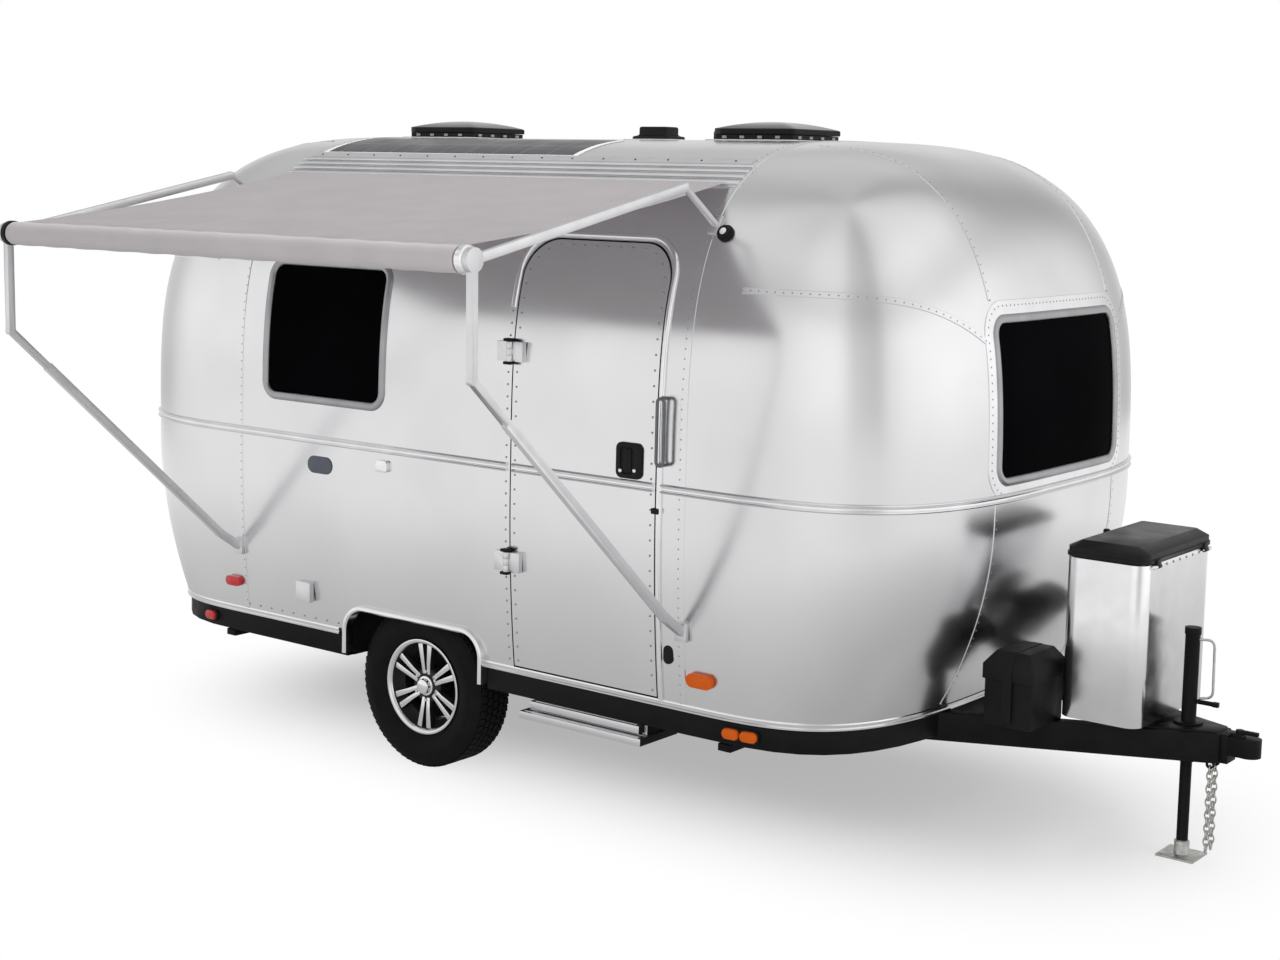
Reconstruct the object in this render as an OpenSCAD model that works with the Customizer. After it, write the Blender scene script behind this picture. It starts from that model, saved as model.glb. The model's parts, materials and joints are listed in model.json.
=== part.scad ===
// Travel caravan with riveted aluminium shell, single axle, tongue jack and side awning.
// Lengths in millimetres. X runs forward, Y to the street side, Z up. Sizes along X are
// measured from the axle; the finished part is placed with its origin under the jack foot.

/* [Shell] */
// Width of the shell at the belt
body_w = 2440; // [2360:10:2520]
// Height of the roof ridge above the ground
roof_z = 2720; // [2660:10:2800]
// Height of the belt moulding's middle
belt_z = 1380; // [1350:5:1410]
// Height of the walls' lower edge
sill_z = 548; // [530:2:565]
// Rear seam, behind the axle
rear_seam = 1050; // [1040:5:1120]
// Front seam, ahead of the axle
front_seam = 1422; // [1400:5:1480]
// Depth of the front cap at the belt
nose_len = 970; // [930:5:1000]
// Depth of the rear cap at the belt
tail_len = 980; // [900:5:1060]
// Thickness of walls, roof and caps
wall_t = 45; // [35:1:55]
// How far the sides tuck in at the bottom
side_tuck = 44; // [30:1:60]
// How far the caps tuck in at the bottom
end_tuck = 205; // [170:5:240]
// Fullness of the roof's cross-section
roof_n = 3.2; // [2.8:0.1:3.6]
// Fullness of the caps' upright section
end_n = 2.9; // [2.5:0.1:3.3]
// Fullness of the caps' plan
plan_n = 3.5; // [3:0.1:4]

/* [Trim] */
// Height of the belt moulding
belt_h = 36; // [24:1:48]
// How far the belt moulding stands out
belt_d = 12; // [6:1:18]
// Height of the sill rail under the walls
sill_h = 32; // [24:1:40]
// How far the sill rail stands out
sill_d = 7; // [3:1:12]
// Width of the wheel arch trim
arch_trim_w = 24; // [16:1:32]

/* [Door] */
// Door opening's rear edge, ahead of the axle
door_rear = 565; // [545:5:585]
// Width of the door opening
door_w = 737; // [700:1:770]
// Height of the door opening's top, as a share of the rise from belt to roof
door_share = 0.694; // [0.65:0.002:0.72]
// Radius of the door's top corners
door_corner = 150; // [100:5:180]
// Gap round the door
door_gap = 6; // [5:0.5:9]
// Height of each hinge
hinge_h = 80; // [60:2:100]
// Radius of the hinge pins
hinge_pin_r = 6; // [4:0.5:8]

/* [Windows] */
// Width of the side windows' opening
side_win_w = 750; // [680:5:780]
// Height of the side windows' opening, as a share of the rise
side_win_share = 0.468; // [0.42:0.002:0.49]
// Middle of the side windows, ahead of the axle
side_win_x = -522; // [-545:1:-500]
// Middle of the side windows above the belt, as a share of the rise
side_win_mid = 0.354; // [0.34:0.002:0.37]
// Width of the end windows' opening
end_win_w = 1060; // [960:5:1100]
// Height of the end windows' opening, as a share of the rise
end_win_share = 0.478; // [0.43:0.002:0.49]
// Middle of the end windows above the belt, as a share of the rise
end_win_mid = 0.275; // [0.27:0.001:0.29]
// Radius of the windows' corners
win_corner = 80; // [60:2:100]
// Width of the window frames
win_frame_w = 32; // [22:1:40]

/* [Wheels] */
// Radius of the tyres under load, so the hubs' height
tyre_r = 350; // [335:1:365]
// Width of the tyres
tyre_w = 225; // [205:1:235]
// Middle of the tyres, in from the shell's side
wheel_in = 186; // [180:1:200]
// Radius of the rim's flange
rim_r = 207; // [198:1:215]
// Width of the rim over its flanges
rim_w = 178; // [160:1:190]
// Spoke pairs on each rim
spoke_pairs = 6; // [5:1:7]
// Radius of the wheel spindles
spindle_r = 20; // [16:1:24]
// Half the length of the wheel arch opening
arch_half = 386; // [376:2:400]
// Height of the wheel arch's top
arch_z = 648; // [635:1:670]

/* [Underbody] */
// Height of the belly pan's bottom
pan_z = 424; // [405:1:440]
// Thickness of the belly pan
pan_t = 6; // [4:1:8]
// Size of the square axle tube
axle_tube = 76; // [60:2:90]

/* [Tongue] */
// Jack, ahead of the nose
jack_ahead = 567; // [558:1:608]
// Front of the coupler, ahead of the nose
coupler_ahead = 851; // [838:1:898]
// Height of the A-frame's rails
rail_h = 112; // [90:2:120]
// Width of the A-frame's rails
rail_w = 60; // [50:1:70]
// Half angle between the A-frame's rails
rail_angle = 25; // [23:0.5:27]
// Radius of the jack's tube
jack_r = 28; // [24:1:32]
// Top of the jack's tube
jack_top = 897; // [860:1:940]
// Size of the jack's square foot
foot_w = 150; // [120:2:180]
// Radius of the hitch ball socket
ball_r = 25.8; // [25.5:0.1:26.2]
// Depth of the gas cover, fore and aft
gas_d = 322; // [316:1:340]
// Width of the gas cover
gas_w = 660; // [640:2:680]
// Front of the gas cover, ahead of the nose
gas_ahead = 500; // [488:1:508]
// Top of the gas cover's walls
gas_top = 1165; // [1120:1:1200]
// Links on each safety chain
chain_links = 13; // [10:1:13]

/* [Awning] */
// Rear end of the roller, ahead of the axle
awning_rear = -1030; // [-1040:1:-1000]
// Front end of the roller, ahead of the axle
awning_front = 1398; // [1380:1:1410]
// Roller's middle, out from the shell's side
awning_out = 1220; // [1080:5:1280]
// Roller's middle, below the roof
roller_drop = 436; // [420:1:450]
// Radius of the roller with its wound fabric
roller_r = 42; // [36:1:48]
// Thickness of the awning fabric
fabric_t = 3; // [2:0.5:4]
// Sag of the fabric at mid span
fabric_sag = 22; // [0:1:30]
// Section of the awning arms
arm_w = 34; // [28:1:40]

/* [Roof] */
// Side of the square roof vents
vent_w = 400; // [380:5:430]
// Middle of the rear vent, ahead of the axle
vent_rear_x = -785; // [-800:5:-700]
// Middle of the front vent, ahead of the axle
vent_front_x = 1005; // [900:5:1050]
// Height of the vents' base frames
vent_base_h = 24; // [18:1:32]
// Height of the vents' domed lids
vent_lid_h = 56; // [46:1:66]

/* [Hidden] */
$fn = 48;

// Clearances: fixed seats, moving seats and running fits
seat = 0.3;
play = 1.5;
running = 0.05;
eps = 1;
half_w = body_w / 2;

// Heights above the belt follow its distance from the roof
rise = roof_z - belt_z;
door_top = belt_z + door_share * rise;
side_win_h = side_win_share * rise;
side_win_z = belt_z + side_win_mid * rise;
end_win_h = end_win_share * rise;
end_win_z = belt_z + end_win_mid * rise;

// Places that follow the shell's sides and nose
wheel_y = half_w - wheel_in;
roller_y = half_w + awning_out;
roller_z = roof_z - roller_drop;
nose_x = front_seam + nose_len;
jack_x = nose_x + jack_ahead;
coupler_x = nose_x + coupler_ahead;
gas_front = nose_x + gas_ahead;

// Heights where the side and cap curves begin above, and where the tuck ends below
side_spring_z = belt_z + 70;
end_spring_z = belt_z;
tuck_z = belt_z - 80;

// Rows of the shell's section: low_rows below the spring line, then one each row_step degrees
low_rows = 6;
row_step = 5;
top_row = low_rows + 90 / row_step;
split_row = low_rows + 40 / row_step;
rail_row = low_rows + 50 / row_step;
slat_row = low_rows + 59.5 / row_step;
film_row = low_rows + 60 / row_step;
solar_row = low_rows + 80 / row_step;
cap_cols = 20;

function tuck(z, amount) = amount * pow(max(0, (tuck_z - z) / (tuck_z - sill_z)), 2);
function arc(s, n) = pow(max(0, 1 - pow(max(0, s), n)), 1 / n);
function side_half(z) = z < side_spring_z ? half_w - tuck(z, side_tuck)
    : half_w * arc((z - side_spring_z) / (roof_z - side_spring_z), roof_n);
function end_depth(z, len, inset) = z < end_spring_z ? len - inset - tuck(z, end_tuck)
    : (len - inset) * arc((z - end_spring_z) / (roof_z - inset - end_spring_z), end_n);
function row_angle(i) = (i - low_rows) * row_step;
function row_z(i, inset) = i < low_rows ? sill_z + (side_spring_z - sill_z) * i / low_rows
    : side_spring_z + (roof_z - inset - side_spring_z) * pow(sin(row_angle(i)), 2 / roof_n);
function row_y(i, inset) = i < low_rows ? half_w - inset - tuck(row_z(i, inset), side_tuck)
    : (half_w - inset) * pow(cos(row_angle(i)), 2 / roof_n);
function row_point(i, inset) = [row_y(i, inset), row_z(i, inset)];

// A point of a cap's plan: column j runs from the curb seam to the street seam
function col_angle(j) = -90 + 180 * j / cap_cols;
function plan_c(j) = pow(cos(col_angle(j)), 2 / plan_n);
function plan_s(j) = sign(col_angle(j)) * pow(abs(sin(col_angle(j))), 2 / plan_n);
function cap_point(i, j, len, inset) = [
    end_depth(row_z(i, inset), len, inset) * plan_c(j), row_y(i, inset) * plan_s(j), row_z(i, inset)];
function cap_x(y, z, len) = end_depth(z, len, 0) * arc(abs(y) / side_half(z), plan_n);

// The built skin is flat between its rows and columns: its half width, and that just past a cap's seam
function skin_half(z) = lookup(z, [for (i = [0 : top_row]) [row_z(i, 0), row_y(i, 0)]]);
function cap_skin(dx, z, len) = skin_half(z)
    * (1 - (1 - plan_s(cap_cols - 1)) * dx / (end_depth(z, len, 0) * plan_c(1)));

// Plan outline of the whole shell, for a given half width and cap depths
function plan_outline(w, nose, tail) = concat(
    [for (j = [0 : cap_cols]) [front_seam + nose * plan_c(j), w * plan_s(j)]],
    [for (j = [cap_cols : -1 : 0]) [-rear_seam - tail * plan_c(j), w * plan_s(j)]]);

// Moves a piece from the axle's frame to the frame under the jack foot
module placed() {
    translate([-jack_x, 0, 0]) children();
}

// Street side as drawn, or mirrored to the curb side
module on_side(street) {
    if (street) children();
    else mirror([0, 1, 0]) children();
}

module both_sides() {
    for (street = [true, false]) on_side(street) children();
}

module rounded_rect(w, h, r) {
    square([w - 2 * r, h], center = true);
    square([w, h - 2 * r], center = true);
    for (x = [-1, 1], y = [-1, 1]) translate([x * (w / 2 - r), y * (h / 2 - r)]) circle(r);
}

// Extrudes a drawing whose axes are X and Z, from y0 to y1
module across(y0, y1) {
    translate([0, y1, 0]) rotate([90, 0, 0]) linear_extrude(y1 - y0) children();
}

// Extrudes a drawing whose axes are Y and Z, from x0 to x1
module along(x0, x1) {
    translate([x0, 0, 0]) rotate([90, 0, 90]) linear_extrude(x1 - x0) children();
}

// A straight bar between two points of a drawing
module bar(p, q, w) {
    d = (q - p) / norm(q - p);
    n = [-d.y, d.x] * w / 2;
    polygon([p - n, q - n, q + n, p + n]);
}

// Cylinder along Y
module rod_y(r, y0, y1) {
    translate([0, y0, 0]) rotate([-90, 0, 0]) cylinder(r = r, h = y1 - y0);
}

// Street-side slab of the shell's section between two depths below its surface
module side_slab(x0, x1, depth_a, depth_b, i0, i1) {
    rows = [for (i = [i0 : i1 - 0.01]) i, i1];
    outer = [for (i = rows) row_point(i, depth_a)];
    inner = [for (k = [len(rows) - 1 : -1 : 0]) row_point(rows[k], depth_b)];
    along(x0, x1) polygon(concat(outer, inner));
}

// Ring of the shell's plan at one height
module plan_ring(z0, z1, w, nose, tail, out, in) {
    translate([0, 0, z0]) linear_extrude(z1 - z0) difference() {
        polygon(plan_outline(w + out, nose + out, tail + out));
        polygon(plan_outline(w - in, nose - in, tail - in));
    }
}

/* Shell */

// One end cap, drawn forward from its seam at x = 0
module cap_shell(len) {
    rows = top_row;
    cols = cap_cols + 1;
    half = rows * cols + 1;
    grid = function (inset) concat(
        [for (i = [0 : rows - 1], j = [0 : cap_cols]) cap_point(i, j, len, inset)], [[0, 0, roof_z - inset]]);
    at = function (i, j) i < rows ? i * cols + j : rows * cols;
    quad = function (a, b, c, d) [[a, b, c], [a, c, d]];
    outer = [for (i = [0 : rows - 2], j = [0 : cap_cols - 1])
        each quad(at(i, j), at(i + 1, j), at(i + 1, j + 1), at(i, j + 1))];
    crown = [for (j = [0 : cap_cols - 1]) [at(rows - 1, j), at(rows, 0), at(rows - 1, j + 1)]];
    skin = concat(outer, crown);
    lining = [for (f = skin) [f[2] + half, f[1] + half, f[0] + half]];
    foot = [for (j = [0 : cap_cols - 1])
        each quad(at(0, j), at(0, j + 1), at(0, j + 1) + half, at(0, j) + half)];
    seam_a = [for (i = [0 : rows - 1]) each quad(at(i, 0) + half, at(i + 1, 0) + half, at(i + 1, 0), at(i, 0))];
    seam_b = [for (i = [0 : rows - 1]) each quad(at(i, cap_cols), at(i + 1, cap_cols),
        at(i + 1, cap_cols) + half, at(i, cap_cols) + half)];
    polyhedron(concat(grid(0), grid(wall_t)), concat(skin, lining, foot, seam_a, seam_b));
}

// Patch of a cap round its window, between two depths, drawn forward from the seam
module cap_patch(len, depth_a, depth_b) {
    cols = 10;
    rows = 6;
    margin = 20;
    n = cols + 1;
    half = n * (rows + 1);
    span = end_win_w + 2 * margin;
    rise = end_win_h + 2 * margin;
    grid = function (depth) [for (i = [0 : rows], j = [0 : cols])
        let (y = span * (j / cols - 0.5), z = end_win_z + rise * (i / rows - 0.5))
        [cap_x(y, z, len) - depth, y, z]];
    quad = function (a, b, c, d) [[a, b, c], [a, c, d]];
    skin = [for (i = [0 : rows - 1], j = [0 : cols - 1])
        each quad(i * n + j, (i + 1) * n + j, (i + 1) * n + j + 1, i * n + j + 1)];
    lining = [for (f = skin) [f[2] + half, f[1] + half, f[0] + half]];
    low = [for (j = [0 : cols - 1]) each quad(j, j + 1, j + 1 + half, j + half)];
    high = [for (j = [0 : cols - 1]) let (k = rows * n + j) each quad(k + half, k + 1 + half, k + 1, k)];
    left = [for (i = [0 : rows - 1]) each quad(i * n + half, (i + 1) * n + half, (i + 1) * n, i * n)];
    right = [for (i = [0 : rows - 1]) let (k = cols)
        each quad(i * n + k, (i + 1) * n + k, (i + 1) * n + k + half, i * n + k + half)];
    polyhedron(concat(grid(depth_a), grid(depth_b)), concat(skin, lining, low, high, left, right));
}

// Prism through a cap's window, smaller all round by a margin
module end_win_prism(margin) {
    translate([0, 0, end_win_z]) along(nose_len / 2, nose_len + tail_len)
        rounded_rect(end_win_w - 2 * margin, end_win_h - 2 * margin, win_corner - margin);
}

module side_win_prism(margin) {
    translate([side_win_x, 0, side_win_z]) across(half_w / 2, half_w + eps * 50)
        rounded_rect(side_win_w - 2 * margin, side_win_h - 2 * margin, win_corner - margin);
}

module front_cap() {
    placed() color("silver") translate([front_seam, 0, 0]) difference() {
        cap_shell(nose_len);
        end_win_prism(0);
    }
}

module rear_cap() {
    placed() color("silver") translate([-rear_seam, 0, 0]) mirror([1, 0, 0]) difference() {
        cap_shell(tail_len);
        end_win_prism(0);
    }
}

// Wheel arch as an outline of X and Z, grown by a margin
module arch_outline(grow) {
    corner = 120;
    half = arch_half + grow;
    top = arch_z + grow;
    translate([-half, 0]) square([2 * half, top - corner]);
    translate([corner - half, 0]) square([2 * (half - corner), top]);
    for (s = [-1, 1]) translate([s * (half - corner), top - corner]) circle(corner);
}

module arch_cut() {
    across(wheel_y - tyre_w, half_w + sill_d + eps) arch_outline(arch_trim_w);
}

module door_outline(gap) {
    w = door_w - 2 * gap;
    h = door_top - gap - sill_z;
    translate([door_rear + door_w / 2, sill_z + h / 2]) {
        translate([0, -door_corner]) square([w, h], center = true);
        square([w - 2 * door_corner, h], center = true);
        for (s = [-1, 1]) translate([s * (w / 2 - door_corner), h / 2 - door_corner]) circle(door_corner);
    }
}

module plain_wall() {
    difference() {
        side_slab(-rear_seam, front_seam, 0, wall_t, 0, split_row);
        side_win_prism(0);
        arch_cut();
    }
}

module curb_wall() {
    placed() color("silver") on_side(false) difference() {
        plain_wall();
        across(half_w / 2, half_w + eps) door_outline(0);
    }
}

module street_wall() {
    placed() color("silver") plain_wall();
}

module roof_panel() {
    outer = [for (i = [split_row : top_row]) row_point(i, 0)];
    inner = [for (i = [split_row : top_row]) row_point(i, wall_t)];
    flip = function (pts) [for (k = [len(pts) - 2 : -1 : 0]) [-pts[k].x, pts[k].y]];
    far_inner = flip(inner);
    placed() color("silver") along(-rear_seam, front_seam)
        polygon(concat(outer, flip(outer), [for (k = [len(far_inner) - 1 : -1 : 0]) far_inner[k]],
            [for (k = [len(inner) - 1 : -1 : 0]) inner[k]]));
}

// The belt all round, and the stretch of it that the door carries
module belt_ring() {
    plan_ring(belt_z - belt_h / 2, belt_z + belt_h / 2, half_w, nose_len, tail_len, belt_d, 0);
}

module door_stretch(gap) {
    translate([door_rear + gap, -half_w - belt_d - eps, belt_z - belt_h])
        cube([door_w - 2 * gap, half_w, 2 * belt_h]);
}

module belt_moulding() {
    placed() color("gainsboro") difference() {
        belt_ring();
        door_stretch(-belt_d);
    }
}

module door_belt() {
    placed() color("gainsboro") intersection() {
        belt_ring();
        door_stretch(hinge_lean + belt_d);
    }
}

module sill_rail() {
    placed() color("gainsboro") difference() {
        plan_ring(sill_z - sill_h, sill_z, half_w - side_tuck, nose_len - end_tuck, tail_len - end_tuck,
            sill_d, wall_t);
        both_sides() arch_cut();
    }
}

module arch_trims() {
    placed() color("gainsboro") both_sides()
        across(wheel_y + tyre_w / 2 + 8, half_w + sill_d - side_tuck / 2) difference() {
            arch_outline(arch_trim_w - seat);
            arch_outline(0);
            translate([-half_w, -eps]) square([body_w, pan_z + arch_trim_w + eps]);
        }
}

module window_frames() {
    proud = 8;
    deep = 24;
    placed() color("darkgray") {
        both_sides() intersection() {
            side_slab(-rear_seam, door_rear, -proud, deep, 2, split_row);
            difference() {
                side_win_prism(seat);
                side_win_prism(win_frame_w);
            }
        }
        for (e = [[front_seam, nose_len, 0], [-rear_seam, tail_len, 1]])
            translate([e[0], 0, 0]) mirror([e[2], 0, 0]) intersection() {
                cap_patch(e[1], -proud, deep);
                difference() {
                    end_win_prism(seat);
                    end_win_prism(win_frame_w);
                }
            }
    }
}

module window_glass() {
    outside = 4;
    inside = 10;
    placed() color([0.05, 0.05, 0.06]) {
        both_sides() intersection() {
            side_slab(-rear_seam, door_rear, outside, inside, 2, split_row);
            side_win_prism(win_frame_w + seat);
        }
        for (e = [[front_seam, nose_len, 0], [-rear_seam, tail_len, 1]])
            translate([e[0], 0, 0]) mirror([e[2], 0, 0]) intersection() {
                cap_patch(e[1], outside, inside);
                end_win_prism(win_frame_w + seat);
            }
    }
}

/* Door */

// Hinge axis: between the opening's edge and the door, clear of the skin
hinge_low = 446;
hinge_drop = 0.342;
hinge_zs = [sill_z + hinge_low, door_top - hinge_drop * rise];
hinge_lean = door_gap / 2;
hinge_x = door_rear + hinge_lean;
knuckle_r = hinge_pin_r + 8;
hinge_seat = max([for (z = hinge_zs, s = [-1, 1]) side_half(z + s * hinge_h / 2)]) + seat;
hinge_y = hinge_seat + knuckle_r + 8;
leaf_w = 66;
function leaf_back(z) = max([for (s = [-1, 1]) skin_half(z + s * hinge_h / 2)]) + seat;
knuckle_h = hinge_h / 3;

// Everything the door may hold as it swings: a turned solid about the hinge axis
module door_swing() {
    reach = door_w - door_gap - hinge_lean;
    top = door_top - door_gap;
    translate([hinge_x, hinge_y, 0]) rotate_extrude($fn = 96) {
        square([reach, top - door_corner]);
        square([reach - door_corner, top]);
        translate([reach - door_corner, top - door_corner]) circle(door_corner);
    }
}

module door_panel() {
    placed() color("silver") on_side(false) intersection() {
        side_slab(door_rear, door_rear + door_w, 0, wall_t, 0, split_row);
        across(half_w / 2, half_w + eps) intersection() {
            door_outline(door_gap);
            translate([door_rear, sill_z + door_gap]) square([door_w, door_top]);
        }
        door_swing();
    }
}

latch_in = 130;
latch_up = 92;
latch_w = 124;
latch_h = 140;

module door_latch() {
    x = door_rear + door_w - latch_in;
    z = belt_z + latch_up;
    w = latch_w;
    h = latch_h;
    y = side_half(z + h / 2) + seat;
    placed() color([0.08, 0.08, 0.09]) on_side(false) translate([x, max(y, half_w + seat), z]) {
        across(0, 9) difference() {
            rounded_rect(w, h, 26);
            translate([-8, 0]) rounded_rect(w * 0.52, h * 0.74, 16);
        }
        across(0, 3) translate([-8, 0]) rounded_rect(w * 0.52, h * 0.74, 16);
        translate([-6, 0, 0]) across(3, 8) rounded_rect(w * 0.3, h * 0.66, 8);
    }
}

// One leaf of a hinge: a block on the skin with its knuckles; the other leaf's places are cut away
module hinge_leaf(dir, own, other, back_y) {
    difference() {
        union() {
            translate([dir > 0 ? play : -leaf_w, back_y - hinge_y, -hinge_h / 2])
                cube([leaf_w - play, hinge_y - back_y, hinge_h]);
            for (k = own) translate([0, 0, k * knuckle_h - knuckle_h / 2 + seat])
                cylinder(r = knuckle_r, h = knuckle_h - 2 * seat);
        }
        for (k = other) translate([0, 0, k * knuckle_h - knuckle_h / 2])
            cylinder(r = knuckle_r + play, h = knuckle_h);
    }
}

module wall_hinge_leaves() {
    placed() color("gainsboro") on_side(false) for (z = hinge_zs) translate([hinge_x, hinge_y, z]) {
        hinge_leaf(-1, [-1, 1], [0], leaf_back(z));
        translate([0, 0, -hinge_h / 2 - 2]) cylinder(r = hinge_pin_r, h = hinge_h + 4);
    }
}

module door_hinge_leaves() {
    placed() color("gainsboro") on_side(false) for (z = hinge_zs) translate([hinge_x, hinge_y, z]) difference() {
        hinge_leaf(1, [0], [-1, 1], leaf_back(z));
        translate([0, 0, -hinge_h]) cylinder(r = hinge_pin_r + running, h = 2 * hinge_h);
    }
}

// Oval loop handle on two posts, on the wall just ahead of the door
handle_ahead = 36;
handle_up = 220;
handle_len = 270;
handle_w = 46;

module grab_handle() {
    x = door_rear + door_w + handle_ahead;
    z = belt_z + handle_up;
    len = handle_len;
    w = handle_w;
    tube = 14;
    post_r = tube / 2 - 1.5;
    stand = 34;
    placed() color("dimgray") on_side(false) translate([x, half_w, z]) {
        across(stand, stand + tube) difference() {
            rounded_rect(w, len, w / 2 - eps);
            rounded_rect(w - 2 * tube, len - 2 * tube, w / 2 - tube - eps);
        }
        for (s = [-1, 1]) let (post_z = s * (len - tube) / 2) translate([0, 0, post_z])
            rod_y(post_r, skin_half(z + post_z - post_r) - half_w + seat, stand + tube / 2);
    }
}

/* Underbody */

module belly_pan() {
    w = half_w - side_tuck;
    in_rim = 14;
    placed() color([0.07, 0.07, 0.07]) difference() {
        translate([0, 0, pan_z]) linear_extrude(sill_z - sill_h - pan_z)
            polygon(plan_outline(w - in_rim, nose_len - end_tuck - in_rim, tail_len - end_tuck - in_rim));
        translate([0, 0, pan_z + pan_t]) linear_extrude(sill_z)
            polygon(plan_outline(w - in_rim - pan_t, nose_len - end_tuck - in_rim - pan_t,
                tail_len - end_tuck - in_rim - pan_t));
        both_sides() well_block(0);
        a_frame_rails(rail_w + 2 * seat, seat);
    }
}

module floor_deck() {
    w = half_w - side_tuck - wall_t;
    placed() color("burlywood") difference() {
        translate([0, 0, sill_z - sill_h]) linear_extrude(sill_h) polygon(plan_outline(w,
            nose_len - end_tuck - wall_t, tail_len - end_tuck - wall_t));
        both_sides() well_block(0);
    }
}

// Trailing arm, in from the tyre's middle, and a wheel well open to the side and below
arm_in = 264;
arm_y = wheel_y - arm_in;
well_in = arm_y - 20;
well_top = 2 * tyre_r + 90;
well_half = arch_half + arch_trim_w;

module well_block(shrink) {
    translate([-well_half + shrink, well_in + shrink, pan_z - eps])
        cube([2 * (well_half - shrink), half_w, well_top - pan_z + eps - shrink]);
}

module wheel_wells() {
    placed() color([0.06, 0.06, 0.06]) both_sides() intersection() {
        difference() {
            well_block(0);
            well_block(pan_t);
        }
        translate([-half_w, 0, pan_z]) cube([body_w, half_w - side_tuck - wall_t, well_top]);
    }
}

beam_x = 150;
beam_z = pan_z - 14 - axle_tube / 2;
trail_t = 24;

module axle() {
    bracket_w = 120;
    bracket_y = arm_y - 210;
    placed() color([0.1, 0.1, 0.1]) {
        translate([beam_x - axle_tube / 2, -arm_y, beam_z - axle_tube / 2])
            cube([axle_tube, 2 * arm_y, axle_tube]);
        both_sides() {
            translate([beam_x - bracket_w / 2, bracket_y - 40, beam_z + axle_tube / 2])
                cube([bracket_w, 80, 14]);
            across(arm_y, arm_y + trail_t) {
                bar([beam_x, beam_z], [0, tyre_r], 70);
                translate([beam_x, beam_z]) circle(44);
                translate([0, tyre_r]) circle(42);
            }
            translate([0, 0, tyre_r]) rod_y(spindle_r, arm_y + trail_t, hub_face - 4);
        }
    }
}

// Hub with brake drum: a turned body with the spindle's bore
hub_face = wheel_y - 20;
drum_in = arm_y + trail_t + 8;

module hub(street) {
    drum_r = 152;
    hub_r = 58;
    flange_r = 82;
    placed() color([0.22, 0.22, 0.23]) on_side(street) translate([0, 0, tyre_r]) rotate([-90, 0, 0])
        rotate_extrude() difference() {
            union() {
                translate([0, drum_in]) square([hub_r, hub_face - drum_in]);
                translate([0, drum_in]) square([drum_r, 70]);
                translate([0, hub_face - 14]) square([flange_r, 14]);
            }
            translate([0, drum_in - eps]) square([spindle_r + running, hub_face - drum_in - 1]);
        }
}

module hub_curb() { hub(false); }
module hub_street() { hub(true); }

// Alloy rim: a turned barrel, and twin spokes from a centre disc out to its front lip
module rim(street) {
    bead = rim_r - 17;
    well = rim_r - 45;
    metal = 8;
    lip = 14;
    hw = rim_w / 2;
    centre_r = 78;
    pair_gap_in = 8;
    pair_gap_out = 24;
    spoke_in = 20;
    spoke_out = 26;
    face = hw - 24;
    spoke_t = 36;
    outside = [
        [rim_r, -hw], [rim_r, -hw + metal], [bead, -hw + lip], [bead, -hw + 34], [well, -hw + 54], [well, 24],
        [bead, 44], [bead, hw - lip], [rim_r, hw - metal], [rim_r, hw]];
    inside = [
        [bead - metal, hw], [bead - metal, 48], [well - metal, 27], [well - metal, -hw + 51],
        [bead - metal, -hw + 31], [bead - metal, -hw]];
    placed() color("silver") on_side(street) translate([0, wheel_y, tyre_r]) rotate([-90, 0, 0]) {
        rotate_extrude($fn = 72) polygon(concat(outside, inside));
        intersection() {
            rotate_extrude($fn = 72) polygon(concat([[0, -hw]], outside, [[0, hw]]));
            translate([0, 0, face - spoke_t]) linear_extrude(spoke_t)
                for (k = [0 : spoke_pairs - 1], s = [-1, 1]) rotate(k * 360 / spoke_pairs) polygon([
                    [centre_r - 20, s * pair_gap_in / 2], [bead - metal / 2, s * pair_gap_out / 2],
                    [bead - metal / 2, s * (pair_gap_out / 2 + spoke_out)],
                    [centre_r - 20, s * (pair_gap_in / 2 + spoke_in)]]);
        }
        translate([0, 0, hub_face - wheel_y + seat]) cylinder(r = centre_r, h = face - hub_face + wheel_y - 4);
        translate([0, 0, face - 6]) cylinder(r = 42, h = 22);
        translate([0, 0, face + 16]) cylinder(r = 34, h = 14);
    }
}

module rim_curb() { rim(false); }
module rim_street() { rim(true); }

module tyre(street) {
    bead = rim_r - 17 + seat;
    hw = tyre_w / 2;
    placed() color([0.06, 0.06, 0.06]) on_side(street) translate([0, wheel_y, tyre_r]) rotate([-90, 0, 0])
        rotate_extrude($fn = 72) difference() {
            polygon([
                [bead, -rim_w / 2 + 17], [rim_r + 8, -rim_w / 2 + 6], [rim_r + 60, -hw], [tyre_r - 62, -hw],
                [tyre_r - 16, -hw + 20], [tyre_r, -hw + 46], [tyre_r, hw - 46], [tyre_r - 16, hw - 20],
                [tyre_r - 62, hw], [rim_r + 60, hw], [rim_r + 8, rim_w / 2 - 6], [bead, rim_w / 2 - 17]]);
            for (g = [-40, 0, 40]) translate([tyre_r - 9, g - 5]) square([20, 10]);
        }
}

module tyre_curb() { tyre(false); }
module tyre_street() { tyre(true); }

/* Tongue */

// The rails carry the floor, so their tops are at its underside
rail_top = sill_z - sill_h;
rail_tip_x = coupler_x - 150;
rail_tip_y = 34;
rail_len = 1500;
plate_t = 8;
// From the rails' tip forward to the coupler's back
coupler_gap = 40;
// Lower end of the jack's outer tube
tube_low = rail_top - rail_h - 30;

// Plan of the two rails, which run back and apart from the coupler
module rail_plan(w) {
    for (s = [-1, 1]) bar([rail_tip_x, s * rail_tip_y],
        [rail_tip_x - rail_len * cos(rail_angle), s * (rail_tip_y + rail_len * sin(rail_angle))], w);
}

module a_frame_rails(w, grow) {
    translate([0, 0, rail_top - rail_h - grow]) linear_extrude(rail_h + 2 * grow) rail_plan(w);
}

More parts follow.
